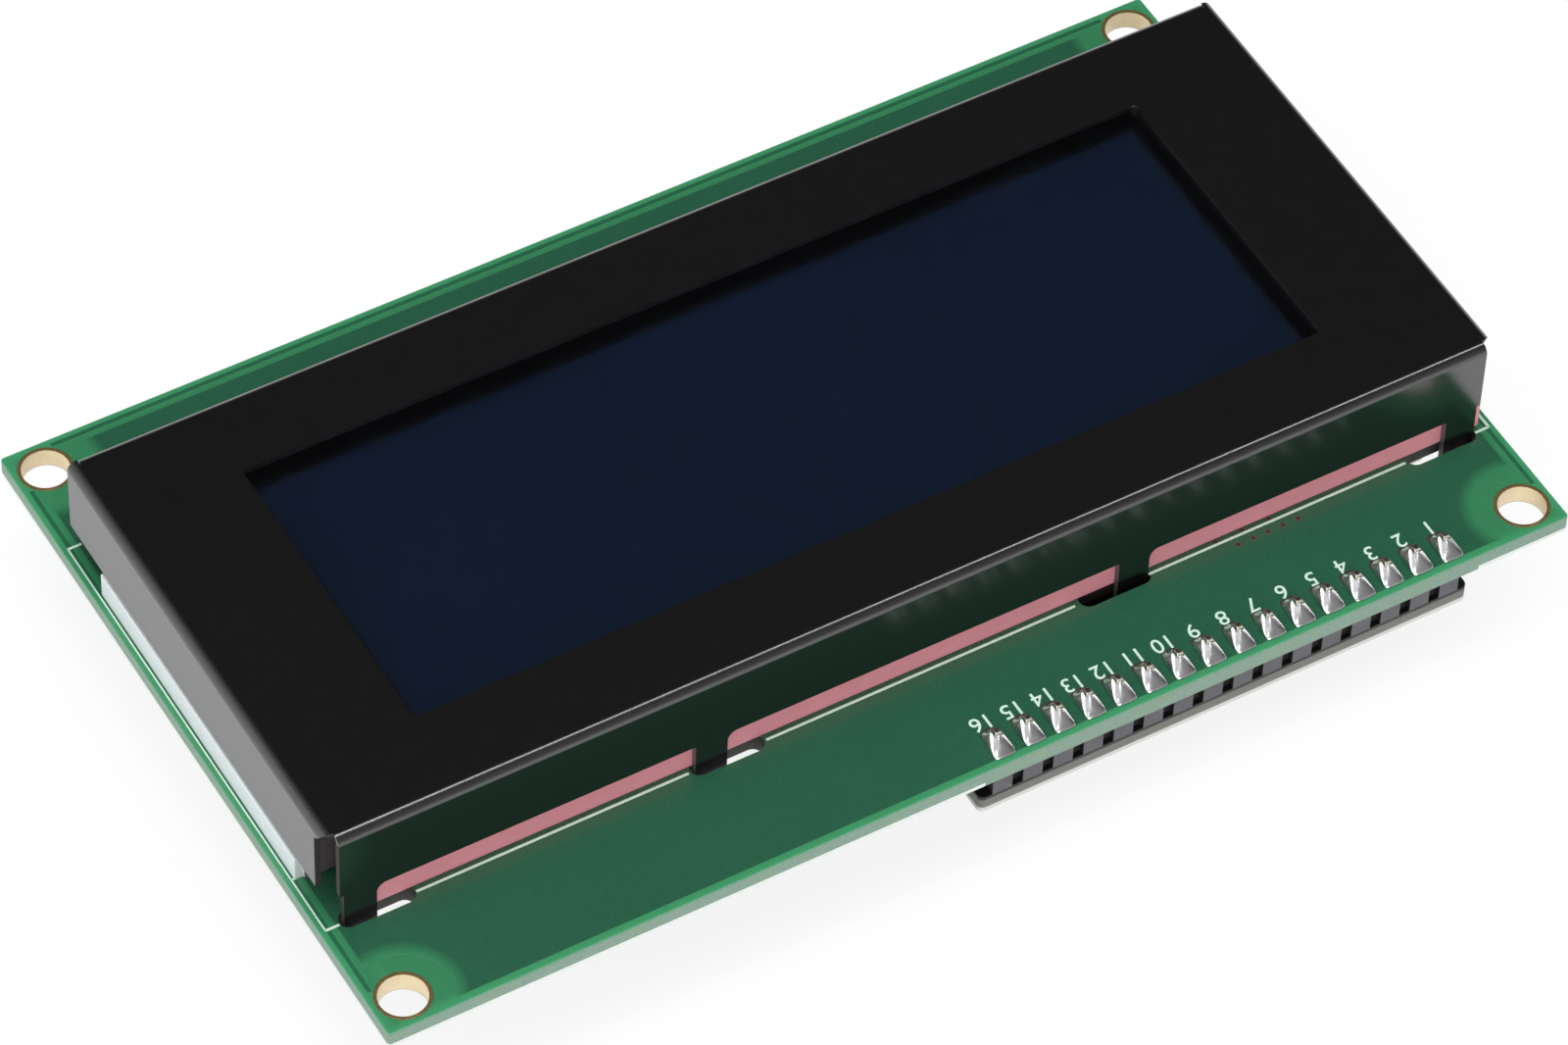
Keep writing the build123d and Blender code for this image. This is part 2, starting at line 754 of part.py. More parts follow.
def side_pins(edge_x, inward, count, reach):
    """Return a row of bent pins, from their tails above the board out past its edge."""
    tail_x = edge_x + inward * tail_inset
    tip_x = edge_x + inward * (block_from_edge - reach)
    half = pin_size / 2
    outer = inward * half
    with BuildPart() as pins:
        for spot in GridLocations(0, pin_spacing, 1, count).local_locations:
            face_y = header_row_y + spot.position.Y + half
            with BuildSketch(Plane.XZ.offset(-face_y)):
                with BuildLine():
                    Polyline(
                        (tip_x, block_middle - half),
                        (tail_x + outer, block_middle - half),
                        (tail_x + outer, adapter_top + tail_above_adapter),
                        (tail_x - outer, adapter_top + tail_above_adapter),
                        (tail_x - outer, block_middle + half),
                        (tip_x, block_middle + half),
                        close=True,
                    )
                make_face()
                bend = vertices().sort_by(Axis.Y)[:2].sort_by(Axis.X)
                fillet(bend[0] if inward < 0 else bend[-1], radius=pin_size)
            extrude(amount=pin_size)
    return pins


host_block = side_block(host_edge_x, -1, host_pin_count)
keep(host_block, "host_header_block")
host_pins = side_pins(host_edge_x, -1, host_pin_count, host_pin_reach)
keep(host_pins, "host_header_pins")
jumper_block = side_block(jumper_edge_x, 1, jumper_pin_count)
keep(jumper_block, "jumper_header_block")
jumper_pins = side_pins(jumper_edge_x, 1, jumper_pin_count, jumper_pin_reach)
keep(jumper_pins, "jumper_header_pins")


# Jumper cap pushed over the two pins, with the clip that joins them

cap_inner_x = jumper_edge_x + block_from_edge - cap_gap
clip_top = block_middle - pin_size / 2
with BuildPart() as jumper_cap:
    with BuildSketch(Plane.YZ.offset(cap_inner_x - cap_length)):
        with Locations((header_row_y, block_middle)):
            RectangleRounded(cap_width, cap_height, spacer_notch)
    extrude(amount=cap_length)
    with BuildSketch(Plane.YZ.offset(cap_inner_x)):
        with Locations((header_row_y, block_middle)):
            with GridLocations(pin_spacing, 0, jumper_pin_count, 1):
                Rectangle(pin_size + 2 * cap_pin_clearance, pin_size + 2 * cap_pin_clearance)
    extrude(amount=-cap_length, mode=Mode.SUBTRACT)
    with BuildSketch(Plane.XY.offset(clip_top - clip_thickness)):
        with Locations((cap_inner_x - cap_length / 2, header_row_y)):
            Rectangle(clip_length, pin_spacing + pin_size + 2 * cap_pin_clearance)
    extrude(amount=clip_thickness, mode=Mode.SUBTRACT)
keep(jumper_cap, "jumper_cap")

with BuildPart() as jumper_clip:
    with BuildSketch(Plane.XY.offset(clip_top - clip_thickness)):
        with Locations((cap_inner_x - cap_length / 2, header_row_y)):
            Rectangle(clip_length, pin_spacing + pin_size)
    extrude(amount=clip_thickness)
keep(jumper_clip, "jumper_clip")


# Small surface parts

def chip_parts(places, seat):
    """Return chip parts that hang from one seat height, each a body with two wrapped ends."""
    with BuildPart() as group:
        for x, y, turn in places:
            with BuildSketch(Plane.XY.offset(seat)):
                with Locations(Location((x, y), turn)):
                    Rectangle(resistor_length, resistor_width)
            extrude(amount=-resistor_height)
            with BuildSketch(Plane.XY.offset(seat)):
                with Locations(Location((x, y), turn)):
                    with GridLocations(resistor_length - terminal_length, 0, 2, 1):
                        Rectangle(terminal_length, resistor_width)
            extrude(amount=-resistor_height - terminal_thickness)
    return group


def on_adapter(spots):
    """Return places measured from the adapter board's centre as places in the part's frame."""
    return [(header_centre_x + x, adapter_y + y, turn) for x, y, turn in spots]


keep(chip_parts(on_adapter(adapter_resistor_spots), adapter_back), "adapter_resistors")
keep(chip_parts(on_adapter([adapter_capacitor_spot]), adapter_back), "adapter_capacitor")
keep(chip_parts(on_adapter([power_led_spot]), adapter_back), "power_led")

transistor_centre_x = header_centre_x + transistor_x
transistor_centre_y = adapter_y + transistor_y
with BuildPart() as backlight_transistor:
    with BuildSketch(Plane.XY.offset(adapter_back - chip_standoff)):
        with Locations((transistor_centre_x, transistor_centre_y)):
            Rectangle(transistor_length, transistor_width)
    extrude(amount=-transistor_height)
    chamfer(faces().sort_by(Axis.Z)[0].edges(), length=transistor_edge_slope)
keep(backlight_transistor, "backlight_transistor")

transistor_lead_places = [
    (transistor_centre_x - transistor_lead_spacing, transistor_centre_y - transistor_width / 2, -1),
    (transistor_centre_x + transistor_lead_spacing, transistor_centre_y - transistor_width / 2, -1),
    (transistor_centre_x, transistor_centre_y + transistor_width / 2, 1),
]
transistor_leads = bent_lead(
    transistor_lead_places,
    transistor_lead_reach,
    transistor_lead_foot,
    chip_standoff + transistor_height / 2,
    transistor_lead_thickness,
    chip_lead_width,
)
keep(transistor_leads, "transistor_leads")

board_resistor_places = [
    (board_chip_row_x + index * board_chip_spacing, board_chip_row_y, 90)
    for index in range(board_resistor_count)
]
keep(chip_parts(board_resistor_places, board_back), "board_resistors")
board_capacitor_places = [
    (board_chip_row_x - board_chip_spacing, board_chip_row_y, 90),
    (board_chip_row_x + board_resistor_count * board_chip_spacing, board_chip_row_y, 90),
]
keep(chip_parts(board_capacitor_places, board_back), "board_capacitors")


# Resin blobs behind the main board: low domes with a soft foot

def resin_blob(radius):
    """Return one dome that hangs below the main board at the origin."""
    flank = []
    for step in range(blob_levels):
        share = 1 - (1 - blob_crown) * step / (blob_levels - 1)
        drop = blob_height * (1 - share ** blob_roundness) / (1 - blob_crown ** blob_roundness)
        flank.append((radius * share, -drop))
    return faceted(flank, blob_sides)


with BuildPart() as controller_blob:
    with Locations((*controller_blob_place, board_back)):
        add(resin_blob(controller_blob_radius))
keep(controller_blob, "controller_blob")

with BuildPart() as segment_driver_blobs:
    for driver_place in driver_blob_places:
        with Locations((*driver_place, board_back)):
            add(resin_blob(driver_blob_radius))
keep(segment_driver_blobs, "segment_driver_blobs")
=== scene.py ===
"""Dresses a four-line character display module and its adapter board for pictures.

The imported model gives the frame: every piece here rides one of its bodies and stays inside its
box. Sizes in the classes are millimetres, and each mesh is scaled to metres as it is made.
"""

import logging
import math
import random
from collections.abc import Callable, Iterable, Sequence
from dataclasses import dataclass, field
from enum import Enum

import bmesh
import bpy
from mathutils import Euler, Matrix, Vector
from mathutils.geometry import delaunay_2d_cdt, tessellate_polygon


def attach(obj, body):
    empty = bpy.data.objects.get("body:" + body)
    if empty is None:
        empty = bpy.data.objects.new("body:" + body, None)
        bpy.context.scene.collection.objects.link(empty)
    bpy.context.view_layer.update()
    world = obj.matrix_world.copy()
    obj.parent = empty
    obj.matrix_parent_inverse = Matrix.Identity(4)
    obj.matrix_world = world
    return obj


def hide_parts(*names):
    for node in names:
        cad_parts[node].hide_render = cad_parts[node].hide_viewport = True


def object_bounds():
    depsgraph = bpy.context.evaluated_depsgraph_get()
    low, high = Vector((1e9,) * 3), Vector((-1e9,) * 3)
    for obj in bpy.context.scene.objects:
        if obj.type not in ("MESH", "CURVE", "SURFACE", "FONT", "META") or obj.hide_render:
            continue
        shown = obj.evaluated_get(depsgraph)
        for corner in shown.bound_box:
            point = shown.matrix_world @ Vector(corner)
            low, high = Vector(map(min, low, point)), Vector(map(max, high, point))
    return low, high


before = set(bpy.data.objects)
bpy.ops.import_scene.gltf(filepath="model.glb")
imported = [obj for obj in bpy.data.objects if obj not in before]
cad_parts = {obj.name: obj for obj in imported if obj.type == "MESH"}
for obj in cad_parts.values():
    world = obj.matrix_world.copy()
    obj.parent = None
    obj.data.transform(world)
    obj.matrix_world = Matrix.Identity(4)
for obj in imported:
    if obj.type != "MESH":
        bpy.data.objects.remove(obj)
CAD_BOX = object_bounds()

MM = 0.001
ROUND_STEPS = 3
SMOOTH_ANGLE = math.radians(38)
ROUND_ANGLE = math.radians(60)
SAME_SPOT = 0.0005
BOARD_RIM = 0.06
FONT_PER_FIGURE = 1.42
FIGURE_WEIGHT = 0.008
MAIN_BODY = "module"
ROTOR_BODY = "trimmer_rotor"
LOG = logging.getLogger("display_module")

Point = tuple[float, float]
Loop = list[Point]
Place = tuple[float, float, float]
Shade = tuple[float, float, float]
Socket = bpy.types.NodeSocket
Sockets = dict[str, Socket]
Vertex = bmesh.types.BMVert


class Along(Enum):
    """The axis that an outline is extruded along."""

    X = "x"
    Y = "y"
    Z = "z"

    def place(self, u: float, v: float, w: float) -> Place:
        """Return the point of an outline at a place along this axis.

        Args:
            u: The outline's first coordinate.
            v: Its second.
            w: The place along the axis.

        Returns:
            The point in X, Y and Z.
        """
        if self is Along.X:
            return (w, u, v)
        if self is Along.Y:
            return (u, w, v)
        return (u, v, w)


def shade(red: int, green: int, blue: int) -> Shade:
    """Return a linear colour from the 0 to 255 values that it should show.

    Args:
        red: Red as shown.
        green: Green as shown.
        blue: Blue as shown.

    Returns:
        The linear red, green and blue.
    """
    def linear(value: int) -> float:
        """Return one linear channel."""
        part = value / 255
        return part / 12.92 if part <= 0.04045 else ((part + 0.055) / 1.055) ** 2.4

    return (linear(red), linear(green), linear(blue))


def arc(centre: Point, radius: float, start: float, end: float, steps: int = 6) -> Loop:
    """Return points along an arc, with angles in degrees.

    Args:
        centre: The arc's centre.
        radius: The arc's radius.
        start: The first angle.
        end: The last angle.
        steps: How many spans the arc has.

    Returns:
        The points, first and last included.
    """
    angles = [math.radians(start + (end - start) * step / steps) for step in range(steps + 1)]
    return [(centre[0] + radius * math.cos(a), centre[1] + radius * math.sin(a)) for a in angles]


def rounded(centre: Point, length: float, width: float, radius: float, steps: int = 5) -> Loop:
    """Return a rectangle with round corners, anticlockwise.

    Args:
        centre: The rectangle's centre.
        length: Its size along the first axis.
        width: Its size along the second axis.
        radius: The corners' radius.
        steps: How many spans each corner has.

    Returns:
        The outline's points.
    """
    far_u, far_v = length / 2 - radius, width / 2 - radius
    corners = ((far_u, far_v, 0), (-far_u, far_v, 90), (-far_u, -far_v, 180), (far_u, -far_v, 270))
    points: Loop = []
    for u, v, start in corners:
        points += arc((centre[0] + u, centre[1] + v), radius, start, start + 90, steps)
    return points


def circle(centre: Point, radius: float, steps: int = 48) -> Loop:
    """Return a circle's points, anticlockwise."""
    return arc(centre, radius, 0, 360, steps)[:-1]


def rectangle(low: Point, high: Point) -> Loop:
    """Return the four corners of a rectangle, anticlockwise."""
    return [(low[0], low[1]), (high[0], low[1]), (high[0], high[1]), (low[0], high[1])]


def signed_area(loop: Loop) -> float:
    """Return a loop's area, positive when it runs anticlockwise."""
    pairs = zip(loop, loop[1:] + loop[:1])
    return sum(a[0] * b[1] - b[0] * a[1] for a, b in pairs) / 2


def inset(loop: Loop, amount: float) -> Loop:
    """Move every side of a loop to its left, into the material, by one amount.

    Args:
        loop: Outline points, anticlockwise outside and clockwise round a hole.
        amount: How far each side moves.

    Returns:
        As many points, moved.
    """
    if amount == 0:
        return list(loop)
    moved: Loop = []
    count = len(loop)
    for index, point in enumerate(loop):
        before, after = loop[index - 1], loop[(index + 1) % count]
        into = Vector((point[0] - before[0], point[1] - before[1])).normalized()
        out = Vector((after[0] - point[0], after[1] - point[1])).normalized()
        left_in, left_out = Vector((-into.y, into.x)), Vector((-out.y, out.x))
        middle = left_in + left_out
        reach = amount * 2 / max(middle.length_squared, 0.5)
        moved.append((point[0] + middle.x * reach, point[1] + middle.y * reach))
    return moved


def notched(start: float, middle: float, pitch: float, count: int, half: float, notch: Point) -> Loop:
    """Return a header strip's outline, notched on both sides between its pins.

    Args:
        start: Where the strip starts along its row.
        middle: Its middle across the row.
        pitch: The pins' spacing.
        count: How many pins it holds.
        half: Half its width.
        notch: The notches' width and depth.

    Returns:
        Points as places along and across the row, anticlockwise.
    """
    width, depth = notch
    outline: Loop = []
    for side in (-1, 1):
        out, back = middle + side * half, middle + side * (half - depth)
        for step in range(count)[::-side]:
            near = start + step * pitch + width / 2
            first, last = (near, near + pitch - width)[::-side]
            outline += [(first, back), (first, out), (last, out), (last, back)]
    return outline


def inside(point: Point, loop: Loop) -> bool:
    """Return whether a point lies inside a loop.

    Args:
        point: The point.
        loop: The loop, in either direction.

    Returns:
        True where it lies inside.
    """
    found = False
    for a, b in zip(loop, loop[1:] + loop[:1]):
        if (a[1] > point[1]) != (b[1] > point[1]):
            crossing = a[0] + (point[1] - a[1]) * (b[0] - a[0]) / (b[1] - a[1])
            found ^= point[0] < crossing
    return found


# Shader node groups shared by several finishes


class Nodes:
    """A short way to write shader nodes in one tree."""

    def __init__(self, tree: bpy.types.NodeTree) -> None:
        """Keep the tree that the nodes go into."""
        self.tree = tree

    def add(self, kind: str, inputs: dict[str | int, object] | None = None,
            **settings: object) -> bpy.types.Node:
        """Add one node.

        Args:
            kind: The node's type.
            inputs: Values or output sockets for its inputs, by name or number.
            **settings: Its own settings, such as operation.

        Returns:
            The new node.
        """
        node = self.tree.nodes.new(kind)
        for name, value in settings.items():
            setattr(node, name, value)
        for key, value in (inputs or {}).items():
            if isinstance(value, Socket):
                self.tree.links.new(value, node.inputs[key])
            elif isinstance(value, tuple) and len(value) == 3 and node.inputs[key].type == "RGBA":
                node.inputs[key].default_value = (*value, 1.0)
            else:
                node.inputs[key].default_value = value
        return node

    def math(self, operation: str, first: object, second: object = 0.0, third: object = None) -> Socket:
        """Add a maths node.

        Args:
            operation: What it works out.
            first: Its first value or socket.
            second: Its second value or socket.
            third: Its third value or socket, where it takes one.

        Returns:
            The node's output.
        """
        inputs = {0: first, 1: second}
        if third is not None:
            inputs[2] = third
        return self.add("ShaderNodeMath", inputs, operation=operation).outputs[0]

    def mix(self, factor: object, first: object, second: object) -> Socket:
        """Add a colour mix and return its result."""
        node = self.add("ShaderNodeMix", {0: factor, 6: first, 7: second}, data_type="RGBA")
        return node.outputs[2]

    def spread(self, value: object, low: float, high: float, to_low: float, to_high: float) -> Socket:
        """Add a map range and return its result."""
        inputs = {0: value, 1: low, 2: high, 3: to_low, 4: to_high}
        return self.add("ShaderNodeMapRange", inputs).outputs[0]

    def place(self) -> Socket:
        """Return the object's own coordinates, in metres."""
        return self.add("ShaderNodeTexCoord").outputs["Object"]


def group(name: str, inputs: dict[str, tuple[str, object]], outputs: dict[str, str],
          fill: Callable[[Nodes, Sockets], Sockets]) -> bpy.types.NodeTree:
    """Build one shader node group, or return it if it is there already.

    Args:
        name: The group's name.
        inputs: Socket names with their type and default.
        outputs: Socket names with their type.
        fill: Adds the nodes and returns the outputs' sockets by name.

    Returns:
        The node group.
    """
    if name in bpy.data.node_groups:
        return bpy.data.node_groups[name]
    tree = bpy.data.node_groups.new(name, "ShaderNodeTree")
    for label, (kind, default) in inputs.items():
        socket = tree.interface.new_socket(name=label, in_out="INPUT", socket_type=kind)
        socket.default_value = (*default, 1.0) if kind == "NodeSocketColor" else default
    for label, kind in outputs.items():
        tree.interface.new_socket(name=label, in_out="OUTPUT", socket_type=kind)
    nodes = Nodes(tree)
    entry = nodes.add("NodeGroupInput")
    results = fill(nodes, {label: entry.outputs[label] for label in inputs})
    nodes.add("NodeGroupOutput", dict(results))
    return tree


COLOR, NUMBER = "NodeSocketColor", "NodeSocketFloat"


def mottle_group() -> bpy.types.NodeTree:
    """Build the group that varies a colour a little over the surface.

    Returns:
        The node group.
    """
    def fill(nodes: Nodes, given: Sockets) -> Sockets:
        """Mix darker and lighter shades by soft noise at two scales.

        Args:
            nodes: The group's nodes.
            given: The group's inputs by name.

        Returns:
            The group's outputs by name.
        """
        place = nodes.place()
        broad = nodes.add("ShaderNodeTexNoise", {"Vector": place, "Scale": given["Scale"], "Detail": 4.0})
        fine_scale = nodes.math("MULTIPLY", given["Scale"], 9.0)
        fine = nodes.add("ShaderNodeTexNoise", {"Vector": place, "Scale": fine_scale, "Detail": 2.0})
        soft = nodes.math("MULTIPLY", broad.outputs[0], 0.55)
        both = nodes.math("MULTIPLY_ADD", fine.outputs[0], 0.45, soft)
        swing = nodes.spread(both, 0.3, 0.7, -1.0, 1.0)
        factor = nodes.math("MULTIPLY_ADD", swing, given["Variation"], 1.0)
        scaled = nodes.add("ShaderNodeVectorMath", {0: given["Color"], "Scale": factor}, operation="SCALE")
        return {"Color": scaled.outputs[0]}

    return group("mottle", {"Color": (COLOR, (0.5, 0.5, 0.5)), "Variation": (NUMBER, 0.05),
                            "Scale": (NUMBER, 100.0)}, {"Color": COLOR}, fill)


def grain_group() -> bpy.types.NodeTree:
    """Build the group for a moulded or coated surface's fine grain.

    Returns:
        The node group.
    """
    def fill(nodes: Nodes, given: Sockets) -> Sockets:
        """Give a height and a roughness that follow the same fine noise.

        Args:
            nodes: The group's nodes.
            given: The group's inputs by name.

        Returns:
            The group's outputs by name.
        """
        noise = nodes.add("ShaderNodeTexNoise", {"Vector": nodes.place(), "Scale": given["Scale"],
                                                 "Detail": 5.0})
        swing = nodes.spread(noise.outputs[0], 0.25, 0.75, -1.0, 1.0)
        rough = nodes.math("MULTIPLY_ADD", swing, given["Swing"], given["Roughness"])
        return {"Height": noise.outputs[0], "Roughness": nodes.math("MAXIMUM", rough, 0.02)}

    return group("grain", {"Scale": (NUMBER, 3000.0), "Roughness": (NUMBER, 0.4), "Swing": (NUMBER, 0.05)},
                 {"Height": NUMBER, "Roughness": NUMBER}, fill)


def specks_group() -> bpy.types.NodeTree:
    """Build the group that scatters small pale or dark specks.

    Returns:
        The node group.
    """
    def fill(nodes: Nodes, given: Sockets) -> Sockets:
        """Keep a few cells of a cell pattern and colour their middles.

        Args:
            nodes: The group's nodes.
            given: The group's inputs by name.

        Returns:
            The group's outputs by name.
        """
        cells = nodes.add("ShaderNodeTexVoronoi", {"Vector": nodes.place(), "Scale": given["Scale"]})
        near = nodes.math("LESS_THAN", cells.outputs["Distance"], given["Size"])
        split = nodes.add("ShaderNodeSeparateColor", {0: cells.outputs["Color"]})
        chosen = nodes.math("LESS_THAN", split.outputs[0], given["Share"])
        mask = nodes.math("MULTIPLY", near, chosen)
        return {"Color": nodes.mix(mask, given["Color"], given["Speck"])}

    return group("specks", {"Color": (COLOR, (0.5, 0.5, 0.5)), "Speck": (COLOR, (0.8, 0.8, 0.8)),
                            "Scale": (NUMBER, 600.0), "Size": (NUMBER, 0.15), "Share": (NUMBER, 0.05)},
                 {"Color": COLOR}, fill)


def weave_group() -> bpy.types.NodeTree:
    """Build the group for the glass cloth that shows faintly through solder mask.

    Returns:
        The node group.
    """
    def fill(nodes: Nodes, given: Sockets) -> Sockets:
        """Cross two sets of soft waves and shade the colour by them.

        Args:
            nodes: The group's nodes.
            given: The group's inputs by name.

        Returns:
            The group's outputs by name.
        """
        place = nodes.place()
        waves = [
            nodes.add("ShaderNodeTexWave", {"Vector": place, "Scale": given["Scale"], "Distortion": 0.6,
                                            "Detail": 1.0}, bands_direction=way)
            for way in ("X", "Y")
        ]
        cross = nodes.math("MULTIPLY", waves[0].outputs["Fac"], waves[1].outputs["Fac"])
        rest = nodes.math("SUBTRACT", 1.0, given["Depth"])
        factor = nodes.math("MULTIPLY_ADD", cross, given["Depth"], rest)
        scaled = nodes.add("ShaderNodeVectorMath", {0: given["Color"], "Scale": factor}, operation="SCALE")
        return {"Color": scaled.outputs[0]}

    return group("weave", {"Color": (COLOR, (0.5, 0.5, 0.5)), "Scale": (NUMBER, 400.0),
                           "Depth": (NUMBER, 0.1)}, {"Color": COLOR}, fill)


def layers_group() -> bpy.types.NodeTree:
    """Build the group for the pressed glass layers on a laminate's cut edge.

    Returns:
        The node group.
    """
    def fill(nodes: Nodes, given: Sockets) -> Sockets:
        """Band the colour by height and break the bands with short fibres.

        Args:
            nodes: The group's nodes.
            given: The group's inputs by name.

        Returns:
            The group's outputs by name.
        """
        place = nodes.place()
        bands = nodes.add("ShaderNodeTexWave", {"Vector": place, "Scale": given["Scale"], "Distortion": 2.5,
                                                "Detail": 3.0, "Detail Scale": 2.0}, bands_direction="Z")
        fibres = nodes.add("ShaderNodeTexNoise", {"Vector": place, "Scale": 2600.0, "Detail": 3.0})
        both = nodes.math("MULTIPLY", bands.outputs["Fac"], fibres.outputs[0])
        return {"Color": nodes.mix(nodes.spread(both, 0.1, 0.6, 0.0, 1.0), given["Dark"], given["Light"])}

    return group("laminate_layers", {"Dark": (COLOR, (0.2, 0.3, 0.2)), "Light": (COLOR, (0.5, 0.6, 0.5)),
                                     "Scale": (NUMBER, 900.0)}, {"Color": COLOR}, fill)


# Finishes


@dataclass(frozen=True)
class Finish:
    """One surface finish, with everything that its material needs.

    Attributes:
        name: The material's name.
        color: Its base colour, linear.
        slot: The record's material slot that it belongs to; not used in this script.
        roughness: Its mean roughness.
        swing: How far the roughness varies.
        metallic: One for bare metal.
        ior: Index of refraction of its surface.
        coat: Weight of a clear coat.
        variation: How far the colour varies.
        variation_scale: Scale of that variation, per metre.
        grain_scale: Scale of the fine grain, per metre.
        grain_depth: Depth of the fine grain, in metres.
        weave: Depth of the glass cloth's pattern.
        speck: Colour of scattered specks, or None.
        speck_share: Share of cells that hold a speck.
        speck_scale: Cells per metre of the specks.
        transmission: One for clear material.
    """

    name: str
    color: Shade
    slot: str
    roughness: float = 0.4
    swing: float = 0.05
    metallic: float = 0.0
    ior: float = 1.5
    coat: float = 0.0
    variation: float = 0.06
    variation_scale: float = 120.0
    grain_scale: float = 4000.0
    grain_depth: float = 0.000004
    weave: float = 0.0
    speck: Shade | None = None
    speck_share: float = 0.04
    speck_scale: float = 500.0
    transmission: float = 0.0

    def material(self) -> bpy.types.Material:
        """Build this finish's material on first use.

        Returns:
            The material.
        """
        if self.name in bpy.data.materials:
            return bpy.data.materials[self.name]
        made = bpy.data.materials.new(self.name)
        made.use_nodes = True
        nodes = Nodes(made.node_tree)
        surface = made.node_tree.nodes["Principled BSDF"]
        for socket, value in (("Metallic", self.metallic), ("IOR", self.ior), ("Coat Weight", self.coat),
                              ("Coat Roughness", 0.06), ("Transmission Weight", self.transmission)):
            surface.inputs[socket].default_value = value
        grain = nodes.add("ShaderNodeGroup", node_tree=grain_group())
        for socket, value in (("Scale", self.grain_scale), ("Roughness", self.roughness),
                              ("Swing", self.swing)):
            grain.inputs[socket].default_value = value
        made.node_tree.links.new(self.color_socket(nodes), surface.inputs["Base Color"])
        made.node_tree.links.new(grain.outputs["Roughness"], surface.inputs["Roughness"])
        bump = nodes.add("ShaderNodeBump", {"Height": grain.outputs["Height"], "Strength": 1.0,
                                            "Distance": self.grain_depth})
        made.node_tree.links.new(bump.outputs[0], surface.inputs["Normal"])
        return made

    def color_socket(self, nodes: Nodes) -> Socket:
        """Add the varied colour, with the cloth and the specks.

        Args:
            nodes: The material's nodes.

        Returns:
            The colour's socket.
        """
        mottle = nodes.add("ShaderNodeGroup", node_tree=mottle_group())
        mottle.inputs["Color"].default_value = (*self.color, 1.0)
        mottle.inputs["Variation"].default_value = self.variation
        mottle.inputs["Scale"].default_value = self.variation_scale
        last = mottle.outputs["Color"]
        if self.weave:
            weave = nodes.add("ShaderNodeGroup", node_tree=weave_group())
            weave.inputs["Depth"].default_value = self.weave
            nodes.tree.links.new(last, weave.inputs["Color"])
            last = weave.outputs["Color"]
        if self.speck is not None:
            specks = nodes.add("ShaderNodeGroup", node_tree=specks_group())
            nodes.tree.links.new(last, specks.inputs["Color"])
            specks.inputs["Speck"].default_value = (*self.speck, 1.0)
            specks.inputs["Share"].default_value = self.speck_share
            specks.inputs["Scale"].default_value = self.speck_scale
            last = specks.outputs["Color"]
        return last


@dataclass(frozen=True)
class LaminateEdge(Finish):
    """The cut edge of a glass-fibre board: darker layers, with another colour along each of its rims; the
    pale one along the lower rim is painted light from the white floor.

    Attributes:
        dark: Colour of the darker layers.
        upper: Colour just under the upper face.
        lower: Colour just over the lower face, a pale painted light from the white floor.
        top: Height of the upper face.
        back: Height of the lower face.
        upper_width: How far the upper shade reaches down.
        bounce_light_width: How far the painted floor light reaches up.
        bounce_light_gap: Where along X the painted floor light stops and starts again, above the adapter
            board.
    """

    dark: Shade = (0.1, 0.2, 0.1)
    upper: Shade = (0.1, 0.3, 0.2)
    lower: Shade = (0.8, 0.8, 0.8)
    top: float = 0.0
    back: float = -1.6
    upper_width: float = 0.12
    bounce_light_width: float = 0.4
    bounce_light_gap: Point = (0.0, 0.0)

    def color_socket(self, nodes: Nodes) -> Socket:
        """Add the layered colour with its two rims, the lower one painted light.

        Args:
            nodes: The material's nodes.

        Returns:
            The colour's socket.
        """
        layers = nodes.add("ShaderNodeGroup", node_tree=layers_group())
        layers.inputs["Light"].default_value = (*self.color, 1.0)
        layers.inputs["Dark"].default_value = (*self.dark, 1.0)
        split = nodes.add("ShaderNodeSeparateXYZ", {0: nodes.place()})
        soft = 0.06 * MM
        low, high = (self.top - self.upper_width) * MM, (self.back + self.bounce_light_width) * MM
        above = nodes.spread(split.outputs[2], low - soft, low + soft, 0.0, 1.0)
        # Painted light: a pale band from the white floor along the lower rim.
        below = nodes.spread(split.outputs[2], high - soft, high + soft, 1.0, 0.0)
        middle, half = (self.bounce_light_gap[0] + self.bounce_light_gap[1]) / 2, (self.bounce_light_gap[1] - self.bounce_light_gap[0]) / 2
        away = nodes.math("ABSOLUTE", nodes.math("SUBTRACT", split.outputs[0], middle * MM))
        # No painted floor light above the adapter board, which hides the edge from the floor.
        below = nodes.math("MULTIPLY", below, nodes.math("GREATER_THAN", away, half * MM))
        return nodes.mix(below, nodes.mix(above, layers.outputs["Color"], self.upper), self.lower)


@dataclass(frozen=True)
class BoardMask(Finish):
    """Solder mask over bare laminate, paler near the board's edges where light comes through them.

    Attributes:
        half_length: Half the board's length.
        half_width: Half its width.
        glow_width: How far the paler band reaches in.
        gain: How much brighter it is at the very edge.
    """

    half_length: float = 49.0
    half_width: float = 30.0
    glow_width: float = 1.1
    gain: float = 1.45

    def color_socket(self, nodes: Nodes) -> Socket:
        """Add the mask's colour, scaled up towards the edges.

        Args:
            nodes: The material's nodes.

        Returns:
            The colour's socket.
        """
        split = nodes.add("ShaderNodeSeparateXYZ", {0: nodes.place()})
        past = [
            nodes.math("SUBTRACT", nodes.math("ABSOLUTE", split.outputs[axis]), half * MM)
            for axis, half in enumerate((self.half_length, self.half_width))
        ]
        nearest = nodes.math("MAXIMUM", *past)
        gain = nodes.spread(nearest, -self.glow_width * MM, 0.0, 1.0, self.gain)
        scaled = nodes.add("ShaderNodeVectorMath", {0: super().color_socket(nodes), "Scale": gain},
                           operation="SCALE")
        return scaled.outputs[0]


